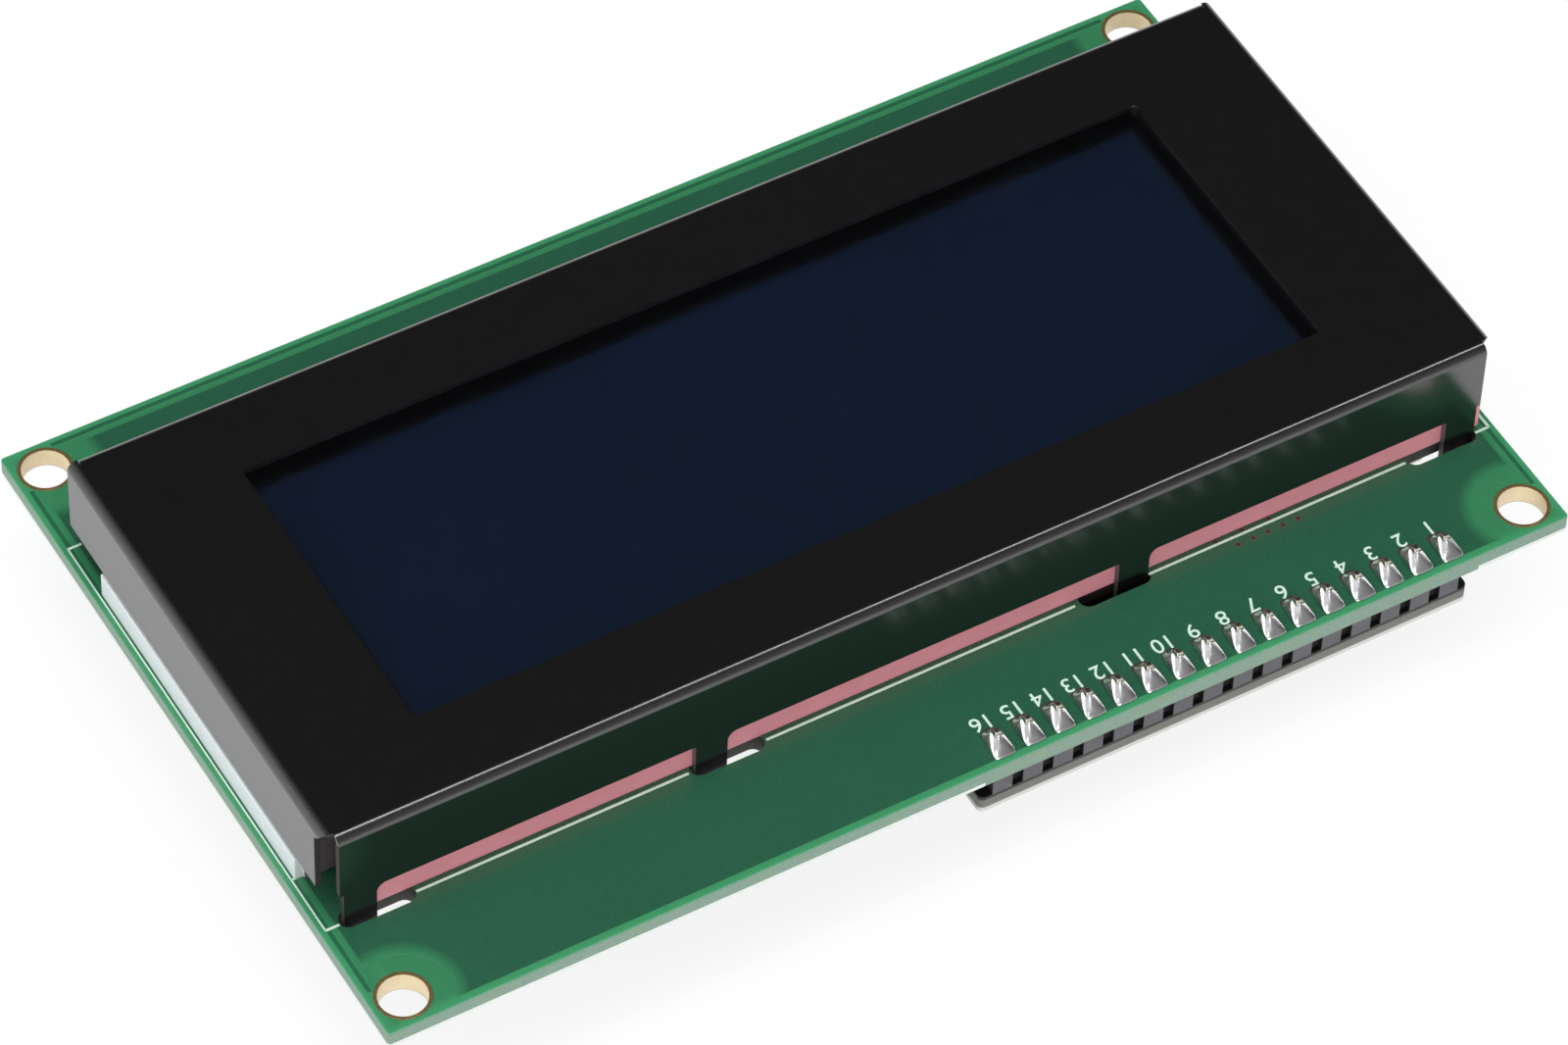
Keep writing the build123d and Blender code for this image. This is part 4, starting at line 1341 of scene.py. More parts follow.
    def add_edge_traces(self) -> None:
        """Add the thin tracks that run round the board just inside its edges."""
        shape = Shape(MASK_TRACE)
        half_x, half_y = self.length / 2 - self.track_inset, self.width / 2 - self.track_inset
        stop_x, stop_y = self.hole_x - self.track_stop, self.hole_y - self.track_stop
        track = self.track_half
        runs = [((side * half_x - track, -stop_y), (side * half_x + track, stop_y)) for side in (-1, 1)]
        runs.append(((-stop_x, half_y - track), (stop_x, half_y + track)))
        for low, high in runs:
            shape.slab([rectangle(low, high)], 0.0, self.copper, 0.01)
        shape.piece("edge_tracks")

    def add_rings(self) -> None:
        """Add the tinned rings round the mounting holes."""
        shape = Shape(HOLE_RING)
        for centre in self.corners():
            ring = [circle(centre, self.hole_radius + reach, 64) for reach in (self.ring_width, 0.02)]
            for low in (0.0, -self.thickness - self.copper):
                shape.slab(ring, low, low + self.copper, 0.012)
        shape.piece("mounting_hole_rings")

    def add_markings(self) -> None:
        """Add the printed outline of the display and the header's plain numbers."""
        shape = Shape(SILK)
        base = self.copper - 0.003
        front, rear, half = self.line_front, self.line_rear, self.line_half
        bars = [((start, y - half), (end, y + half))
                for start, end in self.line_runs for y in (front, rear)]
        for x, reach in ((-self.line_x, half * 0.6), (self.line_x, half)):
            bars.append(((x - reach, front), (x + reach, rear)))
        for low, high in bars + [self.tick]:
            shape.slab([rectangle(low, high)], base, base + self.ink, 0.008)
        for index, (x, _) in enumerate(self.pin_places()):
            number = str(self.pin_count - index)
            shape.figures(number, (x, self.figure_y), base, self.figure_height, 180.0, self.ink)
        shape.piece("printed_markings")

    def add_vias(self) -> None:
        """Add the small tinned vias near the front wall."""
        shape = Shape(VIA, BLACK_NYLON)
        top = self.copper
        for first, y, pitch, count in self.via_rows:
            for index in range(count):
                centre = (first + pitch * index, y)
                hole = circle(centre, self.via_hole, 20)
                shape.slab([circle(centre, self.via_radius, 20), hole], top - 0.004, top + 0.012, 0.004)
                # A black disc in each hole: painted shade for the open hole's dark middle.
                shape.slab([hole], top - 0.01, top + 0.002, 0.0, look=1)
        shape.piece("board_vias")


# The bezel


@dataclass
class Bezel:
    """One folded sheet: a flat blank bent along four sides, with twisted tabs."""

    half_x: float = 48.3
    half_y: float = 20.0
    top: float = 9.499
    sheet: float = 0.5
    bend: float = 0.8
    wall_low: float = 2.8
    long_wall_half: float = 47.4
    front_inset: float = 2.0
    slit_drop: float = 0.3
    slit_round: float = 0.2
    corner_cut: float = 1.05
    rear_inset: float = 0.3
    window: tuple[float, float] = (75.2, 25.9)
    window_shift: float = 0.2
    window_corner: float = 0.4
    tab_centres: tuple[float, float] = (45.8, 17.6)
    tab_width: float = 2.6
    root_radius: float = 0.8
    neck_corner: float = 0.15
    shoulder: float = 0.4
    neck_low: float = -1.65
    twist: float = 40.0
    twist_height: float = 0.9
    tip_height: float = 0.8
    bend_steps: int = 10
    twist_steps: int = 6

    @property
    def middle_radius(self) -> float:
        """Return the bend's radius at the middle of the sheet."""
        return self.bend - self.sheet / 2

    @property
    def bend_length(self) -> float:
        """Return the length of a bend along the middle of the sheet."""
        return self.middle_radius * math.pi / 2

    def down(self, height: float) -> float:
        """Return how far past the plate's edge the blank reaches for a wall's height."""
        return self.bend_length + (self.top - self.sheet / 2 - self.middle_radius) - height

    def long_wall(self, side: int) -> Loop:
        """Outline the blank along one long wall, with its four tabs.

        Args:
            side: One for the rear wall and minus one for the front wall.

        Returns:
            Points on the blank, anticlockwise.
        """
        edge = self.half_y - self.bend
        low, neck = self.down(self.wall_low), self.down(self.neck_low - self.twist_height - self.tip_height)
        shoulder = self.down(self.wall_low + self.shoulder)
        centres = sorted(x * s for s in (-1, 1) for x in self.tab_centres)
        half, root, corner = self.tab_width / 2, self.root_radius, self.neck_corner
        points: Loop = [(-self.long_wall_half, 0.0), (-self.long_wall_half, shoulder)]
        points.append((centres[0] - half, shoulder))
        for centre, following in zip(centres, centres[1:] + [None]):
            points += [(centre - half, neck), (centre + half, neck)]
            if following is not None:
                points += arc((centre + half + root, low + root), root, 180, 270)
                points += arc((following - half - corner, low + corner), corner, 270, 360, 3)
        points += [(centres[-1] + half, shoulder), (self.long_wall_half, shoulder)]
        points.append((self.long_wall_half, 0.0))
        if side < 0:
            return [(x, -edge - y) for x, y in points]
        return [(x, edge + y) for x, y in points][::-1]

    def blank(self) -> Loop:
        """Outline the whole blank.

        Returns:
            The outline, anticlockwise.
        """
        plate_x = self.half_x - self.bend
        low = plate_x + self.down(self.wall_low)
        front, rear = -self.half_y + self.front_inset, self.half_y - self.rear_inset
        edge = self.half_y - self.bend
        slit, corner = plate_x + self.bend_length + self.slit_drop, self.slit_round
        right = [(plate_x + (slit - plate_x) * share, self.corner_cut * share ** 1.5 - edge)
                 for share in (0.25, 0.5, 0.75, 1.0)]
        right += arc((slit + corner, front - corner + 0.1), corner, 180, 90, 4)[1:-1]
        right.append((slit + corner, front))
        right += [(low, front), (low, rear), (plate_x, rear)]
        left = [(-x, y) for x, y in reversed(right)]
        return (self.long_wall(-1) + [(plate_x, -edge)] + right + [(plate_x, edge + 0.0001)]
                + self.long_wall(1) + [(-plate_x, edge + 0.0001)] + left + [(-plate_x, -edge)])

    def rows(self) -> list[float]:
        """List where the blank has rows of points, for its bends and its twists.

        Returns:
            The rows' distances past the plate's edge.
        """
        steps = [self.bend_length * step / self.bend_steps for step in range(self.bend_steps + 1)]
        start = self.down(self.neck_low)
        steps += [start + self.twist_height * step / self.twist_steps
                  for step in range(self.twist_steps + 1)]
        return steps

    def fold(self, u: float, v: float, lift: float) -> Place:
        """Return where a point of the blank goes once the sheet is folded.

        Args:
            u: The point's place along the blank.
            v: Its place across the blank.
            lift: Its height over the middle of the sheet.

        Returns:
            Its place on the folded sheet.
        """
        plate_x, plate_y = self.half_x - self.bend, self.half_y - self.bend
        height = self.top - self.sheet / 2
        if abs(v) > plate_y + 0.0002 and abs(u) < self.long_wall_half + 0.01:
            out, drop = self.bent(abs(v) - plate_y, lift)
            return self.twisted((u, math.copysign(plate_y + out, v), height - drop))
        if abs(u) > plate_x:
            out, drop = self.bent(abs(u) - plate_x, lift)
            return (math.copysign(plate_x + out, u), v, height - drop)
        return (u, v, height + lift)

    def bent(self, past: float, lift: float) -> Point:
        """Bend a point of the blank past the plate's edge.

        Args:
            past: How far past the plate's edge the point lies on the blank.
            lift: Its height over the middle of the sheet.

        Returns:
            How far out and how far down it ends up.
        """
        tilt = min(past, self.bend_length) / self.middle_radius
        straight = max(past - self.bend_length, 0.0)
        radius = self.middle_radius + lift
        return (radius * math.sin(tilt), self.middle_radius - radius * math.cos(tilt) + straight)

    def twisted(self, place: Place) -> Place:
        """Turn a point of a tab's end about the tab's middle.

        Args:
            place: A point of the folded sheet.

        Returns:
            Its place once the tabs are twisted.
        """
        x, y, z = place
        if z >= self.neck_low:
            return place
        side_x, side_y = math.copysign(1, x), math.copysign(1, y)
        centre = side_x * min(self.tab_centres, key=lambda value: abs(value - abs(x)))
        share = min(1.0, (self.neck_low - z) / self.twist_height)
        turn = math.radians(self.twist * side_x * side_y * share)
        wall = side_y * (self.half_y - self.sheet / 2)
        dx, dy = x - centre, y - wall
        return (centre + dx * math.cos(turn) - dy * math.sin(turn),
                wall + dx * math.sin(turn) + dy * math.cos(turn), z)

    def rim_look(self, first: Vector, second: Vector) -> int:
        """Return the finish of the sheet's cut edge between two points of the blank.

        Args:
            first: One point.
            second: The next.

        Returns:
            0 for the black coat, 1 for bare metal and 2 for a matt near-black cut, painted shade where the
            edge lies in shadow.
        """
        middle = (first + second) / 2
        past = max(abs(middle.x) - self.half_x, abs(middle.y) - self.half_y) + self.bend
        # Painted shade: the cut edges round the corner slit.
        if abs(middle.x) > self.half_x - self.bend and -self.half_y + self.bend < middle.y + 0.01 < (
                -self.half_y + self.front_inset + 0.05):
            return 2
        if past < self.bend_length * 0.9:
            return 0
        # The wall ends keep the black coat low down and take painted shade above.
        if abs(middle.y) > self.half_y and abs(abs(middle.x) - self.long_wall_half) < 0.4:
            return 0 if self.down(5.0) < past < self.down(self.wall_low) else 2
        return 1

    def build(self) -> None:
        """Cut the blank into a mesh, fold it, give it its thickness and dress it."""
        outline = self.blank()
        window = rounded((0, self.window_shift), *self.window, self.window_corner)[::-1]
        points = [Vector(point) for point in outline + window]
        count = len(outline)
        edges = [(i, (i + 1) % count) for i in range(count)]
        edges += [(count + i, count + (i + 1) % len(window)) for i in range(len(window))]
        for row in self.rows():
            for side in (-1, 1):
                reach = self.half_y - self.bend + row
                points += [Vector((end * self.long_wall_half, side * reach)) for end in (-1, 1)]
                edges.append((len(points) - 2, len(points) - 1))
                if row <= self.bend_length:
                    reach = self.half_x - self.bend + row
                    points += [Vector((side * reach, -self.half_y + self.bend)),
                               Vector((side * reach, self.half_y - self.rear_inset))]
                    edges.append((len(points) - 2, len(points) - 1))
        vertices, _, faces, *_ = delaunay_2d_cdt(points, edges, [], 0, 0.00001)
        kept = []
        for corners in faces:
            middle = sum((vertices[c] for c in corners), Vector((0, 0))) / len(corners)
            if inside(tuple(middle), outline) and not inside(tuple(middle), window):
                kept.append(corners)
        shape = Shape(BLACK_COAT, CUT_STEEL, CUT_PAINTED_SHADE)
        outer, inner = [
            shape.ring(self.fold(v.x, v.y, side * self.sheet / 2) for v in vertices) for side in (1, -1)
        ]
        for corners in kept:
            shape.face([outer[c] for c in corners])
            shape.face([inner[c] for c in reversed(corners)])
        used = dict.fromkeys(pair for corners in kept for pair in zip(corners, corners[1:] + corners[:1]))
        for first, second in used:
            if (second, first) not in used:
                look = self.rim_look(vertices[first], vertices[second])
                shape.face((outer[second], outer[first], inner[first], inner[second]), look)
        loose = [vertex for vertex in shape.mesh.verts if not vertex.link_faces]
        bmesh.ops.delete(shape.mesh, geom=loose, context="VERTS")
        bmesh.ops.dissolve_limit(shape.mesh, angle_limit=0.002, verts=shape.mesh.verts[:],
                                 edges=shape.mesh.edges[:], delimit={"MATERIAL"})
        piece = shape.piece("folded_bezel", "bezel", smooth=math.radians(40))
        piece.modifiers.clear()
        apply_modifier(piece, "BEVEL", width=0.00004, segments=2, limit_method="ANGLE",
                       angle_limit=ROUND_ANGLE, material=0)
        shade_smoothly(piece, math.radians(40))


# The display cell and the backlight


@dataclass
class DisplayCell:
    """Clear glass over a dark blue film, with the films under it."""

    half_length: float = 46.75
    half_width: float = 18.95
    ledge_half_width: float = 15.85
    film_top: float = 6.6
    ledge: float = 7.7
    glass_top: float = 8.97

    def build(self) -> None:
        """Build the glass and the film below it."""
        glass = Shape(CLEAR_GLASS)
        step = [(-self.half_width, self.ledge), (-self.ledge_half_width, self.ledge),
                (-self.ledge_half_width, self.film_top + 0.03), (self.ledge_half_width, self.film_top + 0.03),
                (self.ledge_half_width, self.ledge), (self.half_width, self.ledge),
                (self.half_width, self.glass_top), (-self.half_width, self.glass_top)]
        glass.slab([step], -self.half_length, self.half_length, 0.03, Along.X)
        glass.piece("cell_glass_stack", "front_glass", "rear_glass", "front_polarizer")
        film = Shape(BLUE_FIELD)
        film.slab([rounded((0, 0), 2 * self.half_length - 0.4, 2 * self.ledge_half_width - 0.4, 0.3)],
                  self.film_top - 0.15, self.film_top, 0.03)
        film.piece("blue_cell_film", "rear_polarizer")


@dataclass
class Backlight:
    """White moulded frame that holds the films, the guide and the lamps."""

    rail_x: float = 47.7
    half_width: float = 15.2
    flange_x: float = 48.35
    flange_half_width: float = 14.9
    flange_height: float = 2.3
    floor_height: float = 2.0
    top: float = 6.4
    rail_top: float = 8.75
    rail_inner_x: float = 46.9
    cavity_x: float = 46.1
    cavity_y: float = 13.7

    def build(self) -> None:
        """Build the frame with rounded edges and dress what lies in it."""
        shape = Shape(WHITE_FRAME, PAINTED_SHADE_SIDE)
        outer = [rounded((0, 0), 2 * self.rail_x, 2 * self.half_width, 0.3)]
        shape.slab(outer, 0.02, self.floor_height, 0.08)
        ring = outer + [rounded((0, 0), 2 * self.cavity_x, 2 * self.cavity_y, 0.2)]
        shape.slab(ring, self.floor_height - 0.1, self.top, 0.08)
        for side in (-1, 1):
            low, high = sorted((side * self.rail_inner_x, side * self.rail_x))
            shape.block((low, -self.flange_half_width, self.top - 0.2),
                        (high, self.flange_half_width, self.rail_top), 0.08)
            low, high = sorted((side * (self.rail_x - 0.3), side * self.flange_x))
            shape.block((low, -self.flange_half_width, 0.02),
                        (high, self.flange_half_width, self.flange_height), 0.1)
        # Painted shade: the frame's long sides, deep under the bezel's walls, take a grey finish.
        for side_face in shape.mesh.faces:
            if abs(side_face.calc_center_median().y) > self.half_width - 0.15:
                side_face.material_index = 1
        shape.piece("backlight_frame_moulding", "backlight_frame")
        for node, finish in (("light_guide", ACRYLIC), ("diffuser_sheet", WHITE_FILM),
                             ("reflector_sheet", WHITE_FILM), ("backlight_led_strip", STRIP_BOARD),
                             ("backlight_leds", LAMP_BODY), ("backlight_leads", TINNED)):
            dress(node, finish)


@dataclass
class ContactStrips:
    """Pink rubber strips that join the glass to the board."""

    shift: float = 1.1
    length: float = 93.0
    outer_y: float = 19.1
    thickness: float = 3.0
    top: float = 7.66
    bulge: float = 0.36
    bulge_top: float = 2.6
    overhang: float = 0.3

    def build(self) -> None:
        """Build the front and the rear strip, each squeezed out a little below the bezel's wall."""
        for side, name in ((-1, "front"), (1, "rear")):
            shape = Shape(PINK_RUBBER)
            outer, inner, swell = self.outer_y, self.outer_y - self.thickness, self.outer_y + self.bulge
            left, right = self.shift - self.length / 2, self.shift + self.length / 2
            seam = self.bulge_top - 0.3
            upper = [(outer, seam), (outer, self.top), (inner, self.top), (inner, seam)]
            lower = [(inner, 0.03), (swell - 0.08, 0.03), (swell, 0.3), (swell, self.bulge_top - 0.35),
                     (swell - 0.1, self.bulge_top - 0.1), (outer, self.bulge_top), (inner, self.bulge_top)]
            shape.slab([[(side * y, z) for y, z in upper]], left, right, 0.1, Along.X)
            shape.slab([[(side * y, z) for y, z in lower]], left, right + self.overhang, 0.1, Along.X)
            shape.piece(f"contact_strip_{name}", f"zebra_strip_{name}")


# The header between the boards


@dataclass
class Header:
    """Pins, notched spacer and the solder on both boards."""

    board: MainBoard
    pin: float = 0.64
    pin_top: float = 1.4
    pin_bottom: float = -7.04
    spacer_top: float = -1.6
    spacer_bottom: float = -4.14
    spacer_width: float = 2.5
    notch: float = 0.45
    notch_width: float = 0.9
    adapter_back: float = -5.74
    joint_top: float = 1.12
    joint_rings: int = 9
    seed: int = 7

    def build(self) -> None:
        """Build the four parts of the header."""
        self.add_pins()
        self.add_spacer()
        self.add_display_joints()
        self.add_adapter_joints()

    def add_pins(self) -> None:
        """Add square pins with chamfered tips."""
        shape = Shape(TINNED)
        half = self.pin / 2
        for x, y in self.board.pin_places():
            tip = 0.14
            rings = []
            for z, size in ((self.pin_bottom, half - tip), (self.pin_bottom + tip * 1.5, half),
                            (self.pin_top - tip * 1.5, half), (self.pin_top, half - tip)):
                rings.append([(px, py, z) for px, py in rounded((x, y), 2 * size, 2 * size, 0.05, 2)])
            shape.stack(rings)
        shape.piece("header_pin_row", "header_pins")

    def add_spacer(self) -> None:
        """Add the plastic strip with a notch between each pair of pins."""
        shape = Shape(NOTCH_PAINTED_SHADE, SPACER_PAINTED_SHEEN)
        board, half = self.board, self.spacer_width / 2
        left = board.header_x - board.pin_count * board.pitch / 2
        notch = (self.notch_width, self.notch)
        outline = notched(left, board.header_y, board.pitch, board.pin_count, half, notch)
        # The same black nylon in two colours: a grey painted sheen on the outward faces and a near-black
        # painted shade in the notches and on the top and bottom.
        shape.slab([outline], self.spacer_bottom + 0.01, self.spacer_top - 0.01, 0.06, walls=[1])
        for face in shape.mesh.faces:
            if abs(face.calc_center_median().y - board.header_y) < half - 0.08:
                face.material_index = 0
        shape.piece("header_spacer_strip", "header_spacer")

    def add_display_joints(self) -> None:
        """Add the long solder joints: a steep rear, steep flanks and a sloping front face."""
        shape = Shape(SOLDER, PAD_PAINTED_SHADE)
        draw = random.Random(self.seed)
        for x, y in self.board.pin_places():
            lean = draw.uniform(-0.05, 0.05)
            top = self.joint_top + draw.uniform(-0.06, 0.03)
            foot = 0.9 + draw.uniform(-0.05, 0.03)
            tail = -1.62 + draw.uniform(-0.04, 0.04)
            rings = [
                self.joint_ring(x, y, step / (self.joint_rings - 1), lean, top, foot, tail)
                for step in range(self.joint_rings)
            ]
            collar = [(x + (px - x) * 0.82, y + (py - y) * 0.82, pz + 0.05) for px, py, pz in rings[-1]]
            shape.stack(rings + [collar])
            # A dark pad under each joint: the tin pad, darkened as painted shade beside the joint's steep
            # rear and left flank.
            shape.slab([rounded((x, y + 0.1), 1.5, 2.6, 0.5)], 0.0, self.board.copper + 0.015, 0.01, look=1)
        shape.piece("display_solder", "display_solder_joints", subdivide=1, smooth=ROUND_ANGLE)

    def joint_ring(self, x: float, y: float, rise: float, lean: float, top: float, foot: float,
                   tail: float) -> list[Place]:
        """Return one level of a joint.

        Args:
            x: The pin's place along the row.
            y: The pin's place across the row.
            rise: Zero at the board and one at the top.
            lean: How far the front corners shift along the row.
            top: The joint's height.
            foot: Half the width of the front edge at the board.
            tail: Where the front edge lies, from the pin.

        Returns:
            The ring's points.
        """
        hollow = (1 - rise) ** 2.0
        slope = (1 - rise) ** 1.1
        bulge = 1 - rise ** 1.8
        blunt = 0.35 + 0.65 * min(1.0, rise * 2.5)
        rear_half = 0.36 + 0.38 * bulge
        front_half = 0.34 + (foot - 0.34) * bulge
        rear = 0.5 + 0.84 * hollow
        front = -0.4 + (tail + 0.4) * slope
        middle = ((rear_half + front_half) / 2 + 0.03, (rear + front) / 2 + 0.2)
        half = [(rear_half * 0.35, rear), (rear_half * 0.78, rear - 0.08), (rear_half, rear - 0.34), middle,
                (front_half, front + 0.62 * blunt), (front_half - 0.07 * blunt, front + 0.32 * blunt),
                (front_half - 0.26 * blunt, front + 0.09 * blunt), (front_half * 0.3, front)]
        ways = [(1, point) for point in half] + [(-1, point) for point in reversed(half)]
        drift = lean * slope
        return [(x + side * px + drift, y + py, 0.02 + rise * top) for side, (px, py) in ways]

    def add_adapter_joints(self) -> None:
        """Add the round joints behind the adapter board."""
        shape = Shape(SOLDER)
        for x, y in self.board.pin_places():
            profile = [(0.0, 0.0), (0.82, 0.0)] + [
                (0.36 + 0.44 * (1 - step / 8) ** 2.4, -1.0 * step / 8) for step in range(1, 9)
            ] + [(0.2, -1.04), (0.0, -1.05)]
            shape.turned((x, y, self.adapter_back), profile, 28)
        shape.piece("adapter_solder", "adapter_solder_joints", smooth=ROUND_ANGLE)


# The adapter board and its parts


@dataclass(frozen=True)
class SideHeader:
    """A right-angle header: where its strip starts and where its pins stand and end, along X."""

    name: str
    low_x: float
    tail: float
    tip: float
    count: int


@dataclass
class AdapterBoard:
    """Black board behind the header, with the port chip and its neighbours."""

    board: MainBoard
    left: float = -0.6
    right: float = 41.1
    front: float = -29.2
    rear: float = -10.2
    top: float = -4.14
    back: float = -5.74
    corner: float = 0.5
    side_y: float = -18.7
    side_headers: tuple[SideHeader, ...] = (
        SideHeader("jumper", 0.0, 3.8, -6.0, 2), SideHeader("host", 38.0, 36.7, 46.5, 4),
    )
    pad_radius: float = 0.8
    trimmer: Point = (12.75, -19.2)
    trimmer_side: float = 6.6
    trimmer_height: float = 5.0
    rotor_radius: float = 1.88
    chip: Point = (26.25, -19.3)
    chip_half: Point = (5.15, 3.75)
    chip_height: float = 2.3
    chip_pitch: float = 1.27
    strip_width: float = 2.5
    cap_side: Point = (4.9, 2.4)
    transistor: Point = (5.75, -13.7)

    def tails(self) -> list[Point]:
        """Place the side headers' holes.

        Returns:
            The places, the jumper's first.
        """
        places = []
        for row in self.side_headers:
            first = self.side_y - (row.count - 1) * self.board.pitch / 2
            places += [(row.tail, first + index * self.board.pitch) for index in range(row.count)]
        return places

    def build(self) -> None:
        """Build the board and everything on it."""
        self.add_board()
        self.add_copper()
        self.add_chip()
        self.add_trimmer()
        self.add_side_headers()
        self.add_jumper()
        self.add_small_parts()

    def add_board(self) -> None:
        """Add the laminate with its holes."""
        shape = Shape(MASK_BLACK, BLACK_EDGE, HOLE_WALL)
        centre = ((self.left + self.right) / 2, (self.front + self.rear) / 2)
        loops = [rounded(centre, self.right - self.left, self.rear - self.front, self.corner)]
        holes = [(place, self.board.header_hole) for place in self.board.pin_places() + self.tails()]
        x, y, pitch = *self.trimmer, self.board.pitch
        for place in ((x - pitch, y - pitch), (x, y + pitch), (x + pitch, y - pitch)):
            holes.append((place, self.board.lead_hole))
        loops += [circle(place, radius, 20) for place, radius in holes]
        shape.slab(loops, self.back, self.top, BOARD_RIM, walls=[1] + [2] * len(holes))
        shape.piece("adapter_laminate", "adapter_board")

    def add_copper(self) -> None:
        """Add pads and tracks on both sides, and a printed frame on the parts side."""
        shape = Shape(SOLDER, MASK_BLACK_POUR, SILK)
        copper = self.board.copper
        for place in self.board.pin_places() + self.tails():
            ring = [circle(place, radius, 28) for radius in (self.pad_radius, self.board.header_hole)]
            for low in (self.top, self.back - copper):
                shape.slab(ring, low, low + copper, 0.01)
        back = self.back - 0.025
        for index, (x, y) in enumerate(self.board.pin_places()[3:14]):
            end = y + 2.2 + 0.25 * index
            shape.slab([rectangle((x - 0.13, y + 0.8), (x + 0.13, end))], back, self.back, 0.008, look=1)
        for low, high in (((self.chip[0] - 5.5, -13.9), (self.chip[0] + 5.5, -13.75)),
                          ((8.9, -15.35), (16.6, -15.2)), ((8.9, -23.2), (16.6, -23.05))):
            shape.slab([rectangle(low, high)], back, self.back, 0.008, look=2)
        shape.piece("adapter_copper_and_print")

    def add_chip(self) -> None:
        """Add the port chip with its leads."""
        x, y = self.chip
        half_l, half_w = self.chip_half
        seat = self.back - 0.1
        low, waist = seat - self.chip_height, seat - self.chip_height / 2
        shape = Shape(CHIP_RESIN)
        shape.stack([
            [(px, py, z)
             for px, py in rounded((x, y), 2 * (half_l - pull * 0.6), 2 * (half_w - pull), 0.12, 2)]
            for z, pull in ((seat, 0.28), (seat - 0.06, 0.22), (waist + 0.1, 0.0), (waist - 0.1, 0.0),
                            (low + 0.1, 0.26), (low, 0.34))
        ])
        shape.piece("port_chip_body", "expander_chip")
        leads = Shape(TINNED)
        for side in (-1, 1):
            for index in range(8):
                lead_x = x + (index - 3.5) * self.chip_pitch
                self.add_lead(leads, lead_x, y + side * half_w, side, 1.4, 0.8, 1.25, 0.22, 0.4)
        leads.piece("port_chip_leads", "expander_leads")

    def add_lead(self, shape: Shape, x: float, y: float, side: int, reach: float, foot: float,
                 drop: float, thickness: float, width: float) -> None:
        """Add one bent lead that leaves a body and lands on the board.

        Args:
            shape: The shape that it joins.
            x: Its middle along the body.
            y: Where it leaves the body.
            side: The way that it points, plus or minus one.
            reach: How far it stands out.
            foot: Its length on the board.
            drop: How far from the board it leaves the body.
            thickness: Its thickness.
            width: Its width.
        """
        knee = reach - foot
        half = thickness / 2
        path = [(-0.05, -drop), (knee * 0.55, -drop), (knee * 0.8, -drop + half),
                (knee, -drop + thickness * 1.4), (knee + 0.02, -thickness * 1.7),
                (knee + thickness * 0.6, -half * 1.3), (reach, -half)]
        left, right = [], []
        for index, (u, v) in enumerate(path):
            before, after = path[max(index - 1, 0)], path[min(index + 1, len(path) - 1)]
            way = Vector((after[0] - before[0], after[1] - before[1])).normalized()
            left.append((u - way.y * half, v + way.x * half))
            right.append((u + way.y * half, v - way.x * half))
        outline = [(y + side * u, self.back + v) for u, v in left + right[::-1]]
        shape.slab([outline], x - width / 2, x + width / 2, 0.03, Along.X)

    def add_trimmer(self) -> None:
        """Add the blue trimmer case, its rotor and its leads."""
        x, y = self.trimmer
        face = self.back - self.trimmer_height
        disc = circle((x, y), self.rotor_radius, 48)
        case = Shape(TRIMMER_BLUE)
        square = rounded((x, y), self.trimmer_side, self.trimmer_side, 0.35, 2)
        case.slab([square, circle((x, y), self.rotor_radius + 0.07, 48)], face, face + 1.3, 0.08)
        case.slab([square], face + 1.35, self.back - 0.3, 0.06)
        for side in (-1, 1):
            foot = x + side * (self.trimmer_side - 0.9) / 2
            case.block((foot - 0.3, y - 1.65, self.back - 0.35),
                       (foot + 0.3, y + 1.65, self.back - 0.01), 0.04)
        case.piece("trimmer_case", "trimmer_body")
        rotor = Shape(ROTOR_WHITE)
        rotor.slab([disc, self.cross_outline((x, y), 1.4, 0.3)], face + 0.2, face + 0.8, 0.05)
        rotor.slab([disc], face + 0.8, face + 1.3, 0.02)
        arrow = [(x + 0.35, y + 1.05), (x + 1.05, y + 0.35), (x + 1.2, y + 1.2)]
        rotor.slab([arrow], face + 0.19, face + 0.21, 0.0)
        rotor.piece("trimmer_turning_disc", "trimmer_rotor", body=ROTOR_BODY)
        dress("trimmer_leads", TINNED)

    @staticmethod
    def cross_outline(centre: Point, reach: float, half: float) -> Loop:
        """Outline a cross-shaped screwdriver slot.

        Args:
            centre: The slot's middle.
            reach: How far each arm reaches from it.
            half: Half an arm's width.

        Returns:
            The outline, anticlockwise.
        """
        points: Loop = []
        for turn in range(4):
            across, along = math.cos(math.pi / 2 * turn), math.sin(math.pi / 2 * turn)
            for u, v in ((half, half), (half, reach), (-half, reach)):
                points.append((centre[0] + u * across - v * along, centre[1] + u * along + v * across))
        return points

    def add_side_headers(self) -> None:
        """Add the right-angle headers at the two short edges."""
        half = self.strip_width / 2
        middle = self.back - half
        for row in reversed(self.side_headers):
            pitch = self.board.pitch
            start = self.side_y - row.count * pitch / 2
            outline = notched(start, row.low_x + half, pitch, row.count, half, (0.9, 0.45))
            block = Shape(BLACK_NYLON)
            block.slab([[(x, y) for y, x in outline]], self.back - self.strip_width, self.back - 0.01, 0.08)
            block.piece(f"{row.name}_header_strip", f"{row.name}_header_block")
            pins = Shape(TINNED)
            for index in range(row.count):
                self.add_bent_pin(pins, start + (index + 0.5) * pitch, row.tail, row.tip, middle)
            pins.piece(f"{row.name}_header_pin_row", f"{row.name}_header_pins")

